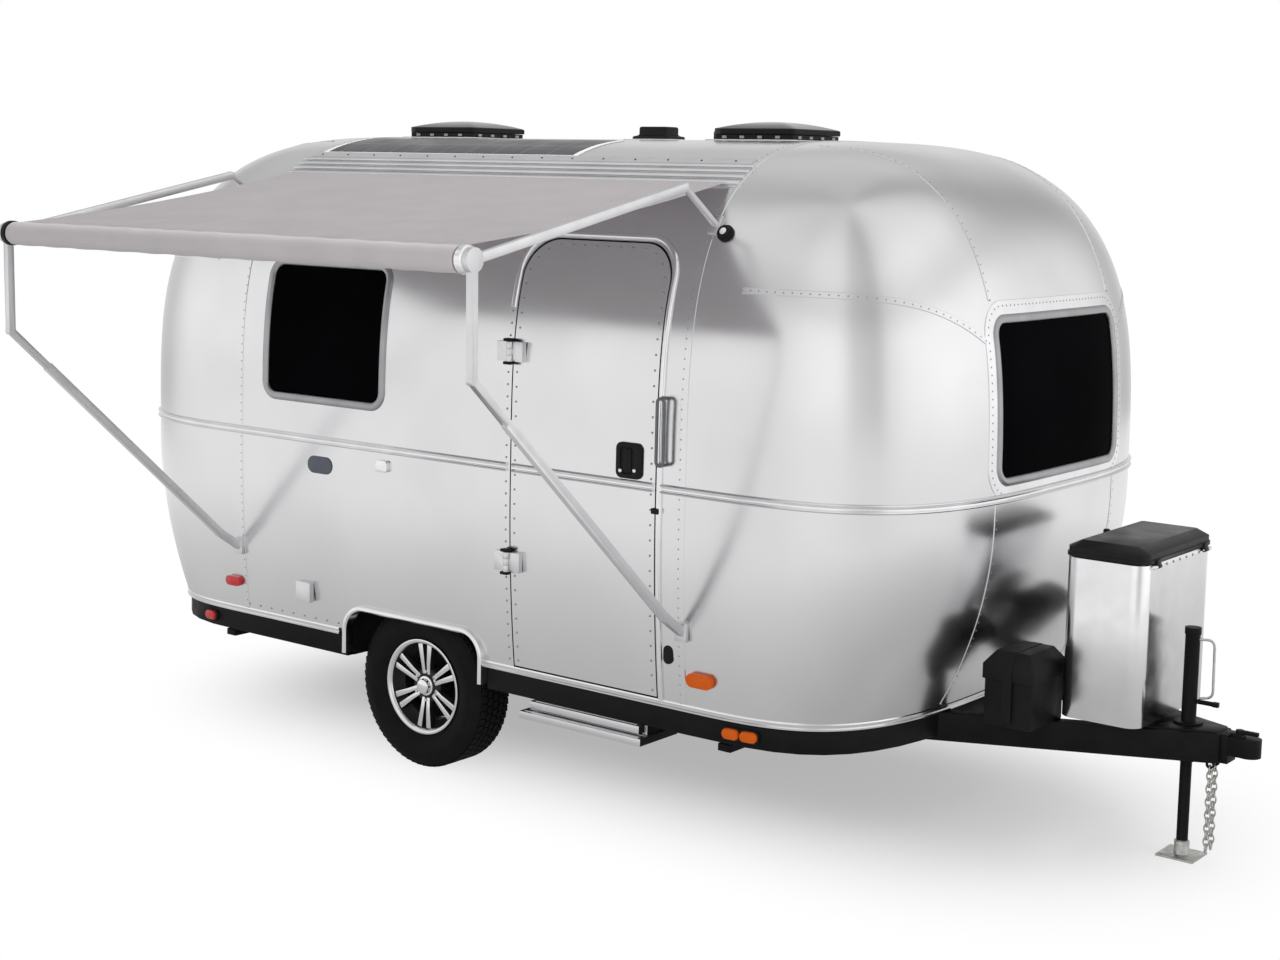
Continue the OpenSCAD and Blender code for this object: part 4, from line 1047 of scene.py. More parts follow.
    def section(self, low: float, high: float, inset: float, steps: int = 26) -> Line:
        """Points of Y and Z up the street side.

        Args:
            low: Angle where it begins; below zero it begins at the sill.
            high: Angle where it ends.
            inset: Depth below the surface.
            steps: Points on the arch.

        Returns:
            The points, upwards.
        """
        spring, n = self.belt_z + self.side_rise, self.roof_n
        points = []
        if low < 0:
            points = [(self.half(z, inset), z) for z in np.linspace(self.sill_z, spring, 20)[:-1]]
        for angle in np.linspace(max(0.0, low), high, steps):
            points.append(((self.half_w - inset) * max(0.0, math.cos(angle)) ** (2 / n),
                           spring + (self.roof_z - inset - spring) * math.sin(angle) ** (2 / n)))
        return points

    def plan(self, z: float, start: float, stop: float) -> list[Row]:
        """The plan outline at a height, from one X on the curb side forward and round to another behind it.

        Args:
            z: Height.
            start: X on the curb side where it starts, going forward.
            stop: X on the curb side where it ends, coming from behind.

        Returns:
            Points and outward directions.
        """
        rows = [(x, -self.half(z)) for x in np.arange(start, self.front_x, 0.05)]
        angles = np.linspace(-QUARTER, QUARTER, 73)
        for end, run in ((End.FRONT, angles), (End.REAR, angles[::-1])):
            for a in run:
                share = math.copysign(abs(math.sin(a)) ** (2 / self.plan_n), a)
                past = self.depth(z, end) * max(0.0, math.cos(a)) ** (2 / self.plan_n)
                rows.append((self.seam(end) + end.value * past, share * self.half(z)))
            if end is End.FRONT:
                rows += [(x, self.half(z)) for x in np.arange(self.front_x - 0.05, self.rear_x, -0.05)]
        rows += [(x, -self.half(z)) for x in np.arange(self.rear_x + 0.05, stop + 1e-6, 0.05)]
        kept = []
        for x, y in rows:
            n = self.normal(x, y, z)
            n[2] = 0
            n /= np.linalg.norm(n)
            p = np.array([x, y, z])
            if not kept or np.linalg.norm(p - kept[-1][0]) > 1e-4:
                kept.append((p, n))
        return kept


def skin_mesh(name: str, outer: np.ndarray, inner: np.ndarray) -> Mesh:
    """A closed panel between two grids of points.

    Args:
        name: The mesh's name.
        outer: Rows and columns of points on the outside.
        inner: The same on the inside.

    Returns:
        The mesh.
    """
    rows, cols = outer.shape[:2]
    half = rows * cols
    verts = np.concatenate([outer.reshape(-1, 3), inner.reshape(-1, 3)])
    faces = []
    for r in range(rows - 1):
        for c in range(cols - 1):
            a, b, d, e = r * cols + c, (r + 1) * cols + c, (r + 1) * cols + c + 1, r * cols + c + 1
            faces += [(a, b, d, e), (e + half, d + half, b + half, a + half)]
    rim = [r * cols for r in range(rows)] + [(rows - 1) * cols + c for c in range(1, cols)]
    rim += [r * cols + cols - 1 for r in range(rows - 2, -1, -1)] + [c for c in range(cols - 2, 0, -1)]
    faces += [(here, there, there + half, here + half) for here, there in zip(rim, rim[1:] + rim[:1])]
    return to_mesh(name, (verts, faces))


def prism(outline: Line, axis: str, low: float, high: float) -> Mesh:
    """A closed prism for cutting.

    Args:
        outline: Points of X and Z for a prism along Y, or of Y and Z for one along X.
        axis: Y or X.
        low: Where it begins on that axis.
        high: Where it ends.

    Returns:
        The mesh.
    """
    count = len(outline)
    verts = [(p, at, q) if axis == "Y" else (at, p, q) for at in (low, high) for p, q in outline]
    ends = [tuple(range(count)), tuple(range(count, 2 * count))]
    return to_mesh("prism", (verts, ring_faces(count, 0, count) + ends))


def true_normals(mesh: Mesh, form: ShellForm, spread: float = 0.12) -> None:
    """Gives faces on the shell's outside the surface's own directions, so that reflections run smooth.

    Args:
        mesh: A panel of the shell.
        form: The surface.
        spread: How far a face's direction may differ, as one less the cosine.
    """
    mesh.shade_smooth()
    points = np.empty(len(mesh.vertices) * 3, np.float32)
    mesh.vertices.foreach_get("co", points)
    surface = np.array([form.normal(*p) for p in points.reshape(-1, 3).astype(float)])
    directions = []
    for face in mesh.polygons:
        flat = np.array(face.normal)
        for k in face.loop_indices:
            smooth = surface[mesh.loops[k].vertex_index]
            directions.append(tuple(smooth if float(smooth @ flat) > 1 - spread else flat))
    mesh.normals_split_custom_set(directions)


@dataclass
class Shell:
    """Walls, roof, caps, their seams, mouldings and rivets."""

    form: ShellForm
    rivet_gap: float = 0.038
    rivet: Triple = (0.0046, 0.0046, 0.0028)
    rivet_lift: float = 0.0012
    centre_strip: float = 0.52
    seam_z: float = 2.15
    seam_drop: float = 0.17
    seam_lap: tuple[float, float] = (0.034, 0.0026)
    cap_lap: tuple[float, float] = (0.026, 0.0026)
    window: Triple = (0.75, 0.627, 0.08)
    window_back: float = 0.522
    window_z: float = 1.854
    end_window: Triple = (1.06, 0.64, 0.08)
    end_z: float = 1.748
    arch_corner: float = 0.12
    arch_gap: float = 0.0003
    arch_wide: float = 0.0505
    door_gap: float = 0.006
    door_corner: float = 0.15
    door_wide: float = 0.737
    belt_gap: float = 0.012
    belt_half: Profile = (
        (-0.004, 0.018), (0.0055, 0.018), (0.0098, 0.0158), (0.0115, 0.0125), (0.0098, 0.0092),
        (0.0055, 0.0072), (0.0035, 0.0045))
    arch_profile: Profile = (
        (0.012, -0.026), (0.012, 0.014), (0.010, 0.022), (0.004, 0.026), (-0.006, 0.026), (-0.012, 0.02),
        (-0.012, -0.026))
    rivets: list = field(default_factory=list)
    door_rivets: list = field(default_factory=list)

    def __post_init__(self) -> None:
        """Reads the openings' places from the frame."""
        self.axle_x = sum(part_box("tyre_curb")[k].x for k in (0, 1)) / 2
        arch_lo, arch_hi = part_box("arch_trims")
        self.arch_half = (arch_hi.x - arch_lo.x) / 2 + self.arch_gap
        self.arch_top = arch_hi.z + self.arch_gap
        door_lo, door_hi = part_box("door_panel")
        self.door_rear = door_lo.x - self.door_gap
        self.door_front = self.door_rear + self.door_wide
        self.door_top = door_hi.z + self.door_gap

    def arch_outline(self, grow: float = 0.0, foot: float = 0.3) -> Line:
        """The wheel arch.

        Args:
            grow: How far outside the opening.
            foot: Height of its feet.

        Returns:
            Points of X and Z from its front foot over to its rear foot.
        """
        half, top, r = self.arch_half + grow, self.arch_top + grow, self.arch_corner + grow
        points = [(half, foot), *arc((half - r, top - r), r, 0, QUARTER, 12),
                  *arc((r - half, top - r), r, QUARTER, math.pi, 12), (-half, foot)]
        return [(self.axle_x + x, z) for x, z in spaced(points, 0.04, False)]

    def door_outline(self, gap: float) -> Line:
        """The door.

        Args:
            gap: How far inside the doorway.

        Returns:
            Points of X and Z from its lower front corner up and over to its lower rear corner.
        """
        front, rear, top, r = self.door_front - gap, self.door_rear + gap, self.door_top - gap, self.door_corner
        points = [(front, self.form.sill_z), *arc((front - r, top - r), r, 0, QUARTER, 14),
                  *arc((rear + r, top - r), r, QUARTER, math.pi, 14), (rear, self.form.sill_z)]
        return spaced(points, 0.03, False)

    def side_grid(self, x0: float, x1: float, inset: float, side: Side, cols: int = 61) -> np.ndarray:
        """Points of a side wall, sill to roof edge."""
        section = self.form.section(-1, self.form.wall_top, inset)
        return np.array([[(x, side.value * y, z) for x in np.linspace(x0, x1, cols)] for y, z in section])

    def cap_grid(self, end: End, inset: float) -> np.ndarray:
        """The grid of an end cap.

        Args:
            end: Which cap.
            inset: Depth below the surface.

        Returns:
            Points, curb seam to street seam, sill to crown.
        """
        form, power = self.form, 2 / self.form.plan_n
        angles = np.linspace(-QUARTER, QUARTER, 141)
        rows = []
        for y, z in form.section(-1, QUARTER, inset, 90):
            reach = end.value * form.depth(z, end, inset)
            rows.append([(form.seam(end) + reach * max(0.0, math.cos(a)) ** power,
                          y * math.copysign(abs(math.sin(a)) ** power, a), z) for a in angles])
        return np.array(rows)

    def window_outline(self, grow: float) -> Line:
        """A side window's outline as X and Z.

        Args:
            grow: How far outside the opening.

        Returns:
            The points.
        """
        w, h, r = self.window
        middle = self.axle_x - self.window_back
        return [(middle + a, self.window_z + b) for a, b in rounded_rect(w + 2 * grow, h + 2 * grow, r + grow)]

    def end_outline(self, grow: float) -> Line:
        """An end window's outline as Y and Z."""
        w, h, r = self.end_window
        return [(a, self.end_z + b) for a, b in rounded_rect(w + 2 * grow, h + 2 * grow, r + grow)]

    def build(self) -> None:
        """Makes every piece of the shell."""
        self.build_walls()
        self.build_caps()
        self.build_roof()
        self.build_mouldings()
        self.build_sill()
        self.build_windows()
        self.build_arches()
        self.build_door_trim()
        self.build_seams()
        for name, spots, body in (("shell_rivets", self.rivets, TRAILER),
                                  ("door_rivets", self.door_rivets, DOOR)):
            Scatter.place(name, spots, Shape.DOME, self.rivet, RIVET, body, "aluminium_skin")

    def add_skin(self, name: str, mesh: Mesh, body: str, node: str) -> None:
        """Keeps a panel of the shell, with the surface's own directions."""
        true_normals(mesh, self.form)
        add_piece(name, mesh, [SKIN], body, "aluminium_skin", [node])

    def build_walls(self) -> None:
        """Both side walls and the door leaf, with their openings cut."""
        form, deep = self.form, 0.7
        wide, below = form.half_w + 0.1, 0.4
        for side, node in ((Side.CURB, "curb_wall"), (Side.STREET, "street_wall")):
            mesh = skin_mesh(node, *(self.side_grid(form.rear_x, form.front_x, inset, side)
                                     for inset in (0, form.wall)))
            low, high = sorted((side.value * deep, side.value * wide))
            cuts = [prism(self.window_outline(0), "Y", low, high), prism(self.arch_outline(), "Y", low, high)]
            if side is Side.CURB:
                doorway = [(x, z if z > form.sill_z else below) for x, z in self.door_outline(0)]
                cuts.append(prism(doorway, "Y", low, high))
            self.add_skin(node + "_skin", carved(mesh, cuts), TRAILER, node)
        leaf = skin_mesh("door_leaf", *(self.side_grid(self.door_rear, self.door_front, inset, Side.CURB, 25)
                                        for inset in (0, form.wall)))
        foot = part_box("door_panel")[0].z
        shape = [(x, z if z > form.sill_z else foot) for x, z in self.door_outline(self.door_gap)]
        leaf = carved(leaf, [prism(shape, "Y", -wide, -deep)], "INTERSECT")
        self.add_skin("door_skin", leaf, DOOR, "door_panel")

    def build_caps(self) -> None:
        """Both end caps, each with its window cut."""
        for end, node in ((End.FRONT, "front_cap"), (End.REAR, "rear_cap")):
            mesh = skin_mesh(node, self.cap_grid(end, 0), self.cap_grid(end, self.form.wall))
            low, high = sorted(self.form.seam(end) + end.value * reach for reach in (0.5, 1.3))
            mesh = carved(mesh, [prism(self.end_outline(0), "X", low, high)])
            self.add_skin(node + "_skin", mesh, TRAILER, node)

    def build_roof(self) -> None:
        """The roof between the walls' upper edges."""
        form, grids = self.form, []
        xs = np.linspace(form.rear_x, form.front_x, 61)
        for inset in (0, form.wall):
            half = form.section(form.wall_top, QUARTER, inset, 40)
            both = [(-y, z) for y, z in half] + half[-2::-1]
            grids.append(np.array([[(x, y, z) for x in xs] for y, z in both]))
        self.add_skin("roof_skin", skin_mesh("roof", *grids), TRAILER, "roof_panel")

    def build_mouldings(self) -> None:
        """The double-bead belt and its stretch on the door."""
        form, profile, gap = self.form, mirrored(list(self.belt_half)), self.belt_gap
        ring = form.plan(form.belt_z, self.door_front + gap, self.door_rear - gap)
        solid("belt_bead", sweep(ring, profile), BRIGHT, TRAILER, "bright_trim", ["belt_moulding"], 50)
        inside = gap + 0.003
        xs = np.linspace(self.door_rear + inside, self.door_front - inside, 20)
        row = [form.on_side(x, form.belt_z, Side.CURB) for x in xs]
        solid("door_belt_bead", sweep(row, profile), BRIGHT, DOOR, "bright_trim", ["door_belt"], 50)

    def build_sill(self) -> None:
        """The sill rail in two bows, broken at the wheel arches."""
        low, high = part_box("sill_rail")[0].z, self.form.sill_z
        top = (high - low) / 2
        profile = [(-0.04, top), (0.001, top), (0.006, top - 0.004), (0.007, top - 0.010), (0.0035, 0.002),
                   (0.0035, -0.002), (0.007, 0.006 - top), (0.005, -top), (-0.04, -top)]
        front, rear = self.axle_x + self.arch_half, self.axle_x - self.arch_half
        ring = self.form.plan((low + high) / 2, front, rear)
        bows = [[row for row in ring if row[0][0] >= front - 1e-6],
                [row for row in ring if row[0][0] <= rear + 1e-6]]
        solid("sill_bead", joined(sweep(bow, profile) for bow in bows), BRIGHT, TRAILER, "bright_trim",
              ["sill_rail"], 40)

    def surface_row(self, points: Line, where: Side | End, out: float = 0.0) -> list[Row]:
        """Points of a drawing laid on a side or a cap.

        Args:
            points: The drawing.
            where: The side or cap.
            out: Distance outside the surface.

        Returns:
            Points and outward directions.
        """
        put = self.form.on_side if isinstance(where, Side) else self.form.on_cap
        rows = [put(a, b, where) for a, b in points]
        return [(p + n * out, n) for p, n in rows]

    def trim(self, points: Line, where: Side | End, profile: Line, closed: bool = False) -> Form:
        """A profile run along a drawing on a side or a cap."""
        return sweep(self.surface_row(points, where), profile, closed)

    def rivet_row(self, points: Line, where: Side | End, gap: float, door: bool = False,
                  closed: bool = False) -> None:
        """Adds rivets at even steps along a drawing on a side or a cap.

        Args:
            points: The drawing.
            where: The side or cap.
            gap: Distance between rivets.
            door: Whether they are on the door.
            closed: Whether the drawing is a loop.
        """
        rows = self.surface_row(points + points[:1] if closed else points, where)
        path = np.array([p for p, _ in rows])
        run = np.concatenate([[0], np.cumsum(np.linalg.norm(np.diff(path, axis=0), axis=1))])
        count = max(2, round(run[-1] / gap))
        kept = self.door_rivets if door else self.rivets
        for s in np.linspace(0, run[-1], count + 1)[:count if closed else count + 1]:
            k = min(len(run) - 2, int(np.searchsorted(run, s, "right")) - 1)
            share = (s - run[k]) / max(1e-9, run[k + 1] - run[k])
            n, along = rows[k][1], path[k + 1] - path[k]
            kept.append((path[k] + along * share + n * self.rivet_lift, n, along))

    def build_windows(self) -> None:
        """Frames, riveted flanges and dark panes of the side and end windows."""
        panes, frames, flanges = [], [], []
        for side in Side:
            frames.append(self.trim(self.window_outline(-0.014), side, bead(0.036, 0.011), True))
            panes.append(self.pane(self.window_outline(-0.028), side))
        for end in End:
            frames.append(self.trim(self.end_outline(-0.012), end, bead(0.034, 0.010), True))
            flanges.append(self.trim(self.end_outline(0.03), end, lap(0.056, 0.0022), True))
            panes.append(self.pane(self.end_outline(-0.026), end))
            self.rivet_row(self.end_outline(0.036), end, 0.03, closed=True)
        solid("window_frame_beads", joined(frames), GREY_FRAME, TRAILER, "window_frame", ["window_frames"], 50)
        solid("window_flanges", joined(flanges), BRIGHT, TRAILER, "bright_trim", degrees=30)
        solid("window_panes", joined(panes), GLASS, TRAILER, "dark_glass", ["window_glass"], 60)

    def pane(self, outline: Line, where: Side | End, rings: int = 14, sunk: float = 0.005,
             thick: float = 0.006) -> Form:
        """A closed pane that follows the surface, as rings of a shrinking outline, outside and inside.

        Args:
            outline: Its edge.
            where: The side or cap.
            rings: Steps from edge to middle.
            sunk: Depth of its face below the surface.
            thick: Its thickness.

        Returns:
            Points and faces.
        """
        mid = np.mean(np.array(outline), axis=0)
        verts, faces = [], []
        count = len(outline)
        for out in (-sunk, -sunk - thick):
            base = len(verts)
            for k in range(rings, 0, -1):
                ring = [tuple(mid + (np.array(p) - mid) * k / rings) for p in outline]
                verts += [p for p, _ in self.surface_row(ring, where, out)]
            verts += [p for p, _ in self.surface_row([tuple(mid)], where, out)]
            for k in range(rings - 1):
                faces += ring_faces(count, base + k * count, base + (k + 1) * count)
            last = base + (rings - 1) * count
            faces += [(last + j, last + (j + 1) % count, len(verts) - 1) for j in range(count)]
        return verts, faces + ring_faces(count, 0, len(verts) // 2)

    def build_arches(self) -> None:
        """Bright trims round the wheel arches."""
        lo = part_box("arch_trims")[0]
        outline = [(x, max(lo.z, z)) for x, z in self.arch_outline(-0.0125, lo.z)]
        out = [np.cross((0, 1, 0), (ahead[0] - behind[0], 0, ahead[1] - behind[1]))
               for behind, ahead in zip(outline[:1] + outline, outline[1:] + outline[-1:])]
        parts = []
        for side in Side:
            path = [(x, side.value * (abs(lo.y) - self.arch_wide / 2), z) for x, z in outline]
            parts.append(sweep(zip(path, out), [(a, side.value * b) for a, b in self.arch_profile]))
        solid("arch_beads", joined(parts), BRIGHT, TRAILER, "bright_trim", ["arch_trims"], 40)

    def build_door_trim(self) -> None:
        """The tubular surround of the doorway and the rivets round it."""
        outside, sill = 0.016, self.form.sill_z + 0.03
        rear = self.door_rear - outside + 0.001
        line = [(x, z) for x, z in self.door_outline(-outside) if x >= rear or z >= self.door_top - 0.3]
        solid("doorway_bead", self.trim(line, Side.CURB, bead(0.026, 0.014)), BRIGHT, TRAILER, "bright_trim",
              degrees=50)
        self.rivet_row([(x, max(z, sill)) for x, z in self.door_outline(0.026)], Side.CURB, 0.06, door=True)
        edge = [(self.door_rear - 0.02, z) for z in np.linspace(sill, 2.25, 40)]
        self.rivet_row(edge, Side.CURB, 0.05)

    def build_seams(self) -> None:
        """Lapped sheet edges and their rivets."""
        form, parts = self.form, []
        section = form.section(-1, QUARTER, 0, 40)
        loop = [(-y, z) for y, z in section] + section[-2::-1]
        for x, way in ((form.rear_x, -1), (form.front_x, 1)):
            rows = [((x, y, z), form.normal(x, y, z)) for y, z in loop]
            parts.append(sweep(rows, lap(*self.seam_lap)))
            for side in Side:
                self.rivet_row([(x - way * 0.009, z) for y, z in section if y > 0.35], side, self.rivet_gap)
        for end in End:
            for sign in (-1, 1):
                for line in self.cap_lines(sign):
                    parts.append(self.trim(line, end, lap(*self.cap_lap)))
                    self.rivet_row(line, end, 0.034)
        self.rivet_edges()
        solid("lapped_seams", joined(parts), SKIN, TRAILER, "aluminium_skin", degrees=30)

    def cap_lines(self, sign: int) -> tuple[Line, Line, Line]:
        """The seams of one half of a cap.

        Args:
            sign: Sign of Y of that half.

        Returns:
            The seam under the window, the one above it, and the cross seam, as Y and Z.
        """
        y, half = sign * self.centre_strip, self.end_window[1] / 2 + 0.06
        low = [(y, z) for z in np.linspace(self.form.sill_z + 0.01, self.end_z - half, 24)]
        high = [(y, z) for z in np.linspace(self.end_z + half, self.crown_height(self.centre_strip), 40)]
        edge = sign * (self.end_window[0] / 2 + 0.055)
        cross = []
        for s in np.linspace(0, 1, 40):
            z = self.seam_z - self.seam_drop * s ** 2.2
            span = sign * (self.form.half(z) - 0.002)
            cross.append((span + (edge - span) * s, z))
        return low, high, cross

    def rivet_edges(self) -> None:
        """Rivets along the walls' feet and the street wall's upper edge."""
        form, clear = self.form, self.arch_half + 0.03
        for side in Side:
            low = [(x, form.sill_z + 0.02) for x in np.linspace(form.rear_x + 0.02, form.front_x - 0.02, 60)]
            stop = self.door_rear - 0.03 if side is Side.CURB else form.front_x
            for line in ([p for p in low if self.axle_x + clear < p[0] < stop],
                         [p for p in low if p[0] < self.axle_x - clear]):
                if len(line) > 2:
                    self.rivet_row(line, side, 0.075)
        top = form.section(form.wall_top, form.wall_top + 0.01, 0, 2)[0][1]
        line = [(x, top) for x in np.linspace(form.rear_x + 0.03, form.front_x - 0.03, 40)]
        self.rivet_row(line, Side.STREET, 0.05)

    def crown_height(self, y: float) -> float:
        """Height at which the shell is twice a given Y wide.

        Args:
            y: Half the width.

        Returns:
            The height.
        """
        low, high = self.form.belt_z, self.form.roof_z
        for _ in range(40):
            mid = (low + high) / 2
            low, high = (mid, high) if self.form.half(mid) > y + 0.004 else (low, mid)
        return low


# CAD solids with softened edges

def softened(node: str, finish: Finish, width: float) -> Object:
    """A copy of a CAD solid with rounded edges and smooth round faces, which stands for it.

    Args:
        node: The CAD node.
        finish: Its finish.
        width: The rounding's width.

    Returns:
        The piece.
    """
    mesh = frame["nodes"][node].data.copy()
    work = bmesh.new()
    work.from_mesh(mesh)
    bmesh.ops.remove_doubles(work, verts=work.verts, dist=2e-5)
    bmesh.ops.dissolve_limit(work, angle_limit=math.radians(0.6), verts=work.verts, edges=work.edges)
    work.to_mesh(mesh)
    work.free()
    if mesh.has_custom_normals:
        mesh.attributes.remove(mesh.attributes["custom_normal"])
    mesh = rounded(mesh, width, 2, 38.0)
    return add_piece(node + "_finished", mesh, [finish], BODY_OF[node], SLOT_OF[node], [node])


@dataclass
class Wheels:
    """Tyres with tread, alloy rims with twin spokes, brake drums, centre caps and wheel nuts."""

    spoke_pairs: int = 6
    nuts: int = 6
    nut_circle: float = 0.062
    tread_rows: tuple[float, ...] = (-0.068, -0.035, 0.0, 0.035, 0.068)
    tread_lean: float = 0.18
    blocks_round: int = 66
    lip_from: float = 0.0795
    bore: float = 0.1903
    barrel: Profile = (
        (0.207, -0.089), (0.207, -0.082), (0.190, -0.075), (0.190, -0.055), (0.164, -0.035), (0.164, 0.024),
        (0.190, 0.044), (0.190, 0.075), (0.2065, 0.081), (0.207, 0.088), (0.203, 0.0895), (0.194, 0.087),
        (0.186, 0.076), (0.180, 0.05), (0.156, 0.027), (0.156, -0.038), (0.182, -0.058), (0.184, -0.089))
    cap: Profile = (
        (0.0, 0.091), (0.018, 0.0905), (0.030, 0.086), (0.034, 0.079), (0.0345, 0.068), (0.042, 0.066),
        (0.043, 0.058), (0.0, 0.058))
    nut: Profile = ((0.0, 0.067), (0.006, 0.067), (0.0095, 0.062), (0.0105, 0.050), (0.0, 0.050))
    plate: Profile = (
        (0.0, -0.0195), (0.078, -0.0195), (0.078, 0.05), (0.072, 0.0575), (0.052, 0.0605), (0.0, 0.0605))
    drum: Profile = (
        (0.0, -0.060), (0.146, -0.060), (0.150, -0.056), (0.150, -0.022), (0.146, -0.018), (0.0, -0.018))

    def build(self) -> None:
        """Makes both wheels."""
        for side, word in ((Side.CURB, "curb"), (Side.STREET, "street")):
            lo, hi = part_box(f"tyre_{word}")
            centre = (lo + hi) / 2
            self.build_tyre(centre, (hi.z - lo.z) / 2, (hi.y - lo.y) / 2, word)
            self.build_rim(centre, side.value, word)
            softened(f"hub_{word}", CAST, 0.003)

    def build_tyre(self, centre: Vector, radius: float, half: float, word: str) -> None:
        """A tyre carcass with ribs on its sidewalls, and tread blocks round it.

        Args:
            centre: The wheel's middle.
            radius: The tyre's radius.
            half: Half its width.
            word: Which wheel.
        """
        side = [(self.bore, 0.070), (0.199, 0.0755), (0.214, 0.082), (0.222, 0.0905), (0.226, 0.0905),
                (0.229, 0.094), (0.250, 0.106), (0.268, 0.1115), (0.284, half), (0.288, half - 0.0006),
                (0.290, half - 0.0026), (0.300, half - 0.004), (0.316, 0.1035), (0.328, 0.0965),
                (radius - 0.009, 0.0865)]
        profile = [(r, -y) for r, y in side] + side[::-1] + [(self.bore, 0.03), (self.bore, -0.03)]
        body = f"wheel_{word}"
        solid(f"tyre_{word}_carcass", lathe(profile, centre, 120), RUBBER, body, "tyre_rubber",
              [f"tyre_{word}"], 40)
        spots = []
        for row, offset in enumerate(self.tread_rows):
            lean = self.tread_lean * (1 if row < 2 else -1 if row > 2 else 0)
            for k in range(self.blocks_round):
                angle = 2 * math.pi * (k + 0.5 * (row % 2)) / self.blocks_round
                aim = Vector((math.cos(angle), 0, math.sin(angle)))
                along = Vector((-math.sin(angle), lean, math.cos(angle))).normalized()
                spots.append((centre + aim * (radius - 0.0065) + Vector((0, offset, 0)), aim, along))
        size = (2 * math.pi * radius / self.blocks_round - 0.006, 0.0265, 0.0125)
        Scatter.place(f"tyre_{word}_tread", spots, Shape.BLOCK, size, RUBBER, body, "tyre_rubber")

    def build_rim(self, centre: Vector, sign: int, word: str) -> None:
        """An alloy rim: dark barrel, machined lip, twin spokes, cap and nuts, with the brake drum behind.

        Args:
            centre: The wheel's middle.
            sign: Sign of Y outwards.
            word: Which wheel.
        """
        rim, body, slot = f"rim_{word}", f"wheel_{word}", "alloy_rim"
        mesh = shade(to_mesh("barrel", lathe(self.barrel, centre, 96, sign)), 40)
        for face in mesh.polygons:
            face.material_index = int(sign * (face.center - centre).y <= self.lip_from)
        add_piece(rim + "_barrel", mesh, [MACHINED, POCKET], body, slot, [rim])
        add_piece(rim + "_spokes", self.spokes(centre, sign), [MACHINED, POCKET], body, slot)
        solid(rim + "_disc", lathe(self.plate, centre, sign=sign), POCKET, body, slot, degrees=30)
        solid(rim + "_drum", lathe(self.drum, centre, sign=sign), BLACK_PAINT, body, "hub_iron", degrees=30)
        solid(rim + "_cap", lathe(self.cap, centre, 40, sign), CHROME, body, slot)
        nuts = []
        for k in range(self.nuts):
            angle = 2 * math.pi * (k + 0.5) / self.nuts
            spot = centre + Vector((math.cos(angle), 0, math.sin(angle))) * self.nut_circle
            nuts.append(lathe(self.nut, spot, 6, sign))
        solid(rim + "_nuts", joined(nuts), CHROME, body, slot, degrees=30)

    def spokes(self, centre: Vector, sign: int) -> Mesh:
        """Twin spokes, machined on the face and dark on the sides.

        Args:
            centre: The wheel's middle.
            sign: Sign of Y outwards.

        Returns:
            The mesh, with material indices 0 and 1.
        """
        face_y, back_y, inner, outer = 0.066, 0.030, 0.05, 0.184
        forms = []
        for k in range(self.spoke_pairs):
            turn = 2 * math.pi * k / self.spoke_pairs + QUARTER
            for half in (-1, 1):
                drawing = [(inner, half * 0.0035, 0.060), (0.10, half * 0.006, face_y),
                           (outer, half * 0.0135, 0.072), (outer, half * 0.0405, 0.072),
                           (0.10, half * 0.0265, face_y), (inner, half * 0.0215, 0.060)]
                verts = []
                for back in (False, True):
                    for r, across, y in drawing:
                        x = r * math.cos(turn) - across * math.sin(turn)
                        z = r * math.sin(turn) + across * math.cos(turn)
                        deep = back_y + (y - face_y) * 0.5 if back else y
                        verts.append((centre.x + x, centre.y + sign * deep, centre.z + z))
                ends = [(0, 1, 4, 5), (1, 2, 3, 4), (6, 7, 10, 11), (7, 8, 9, 10)]
                forms.append((verts, ends + ring_faces(6, 0, 6)))
        mesh = to_mesh("spokes", joined(forms))
        for face in mesh.polygons:
            face.material_index = int(face.index % 10 >= 4)
        return rounded(mesh, 0.0022, 2, 40)


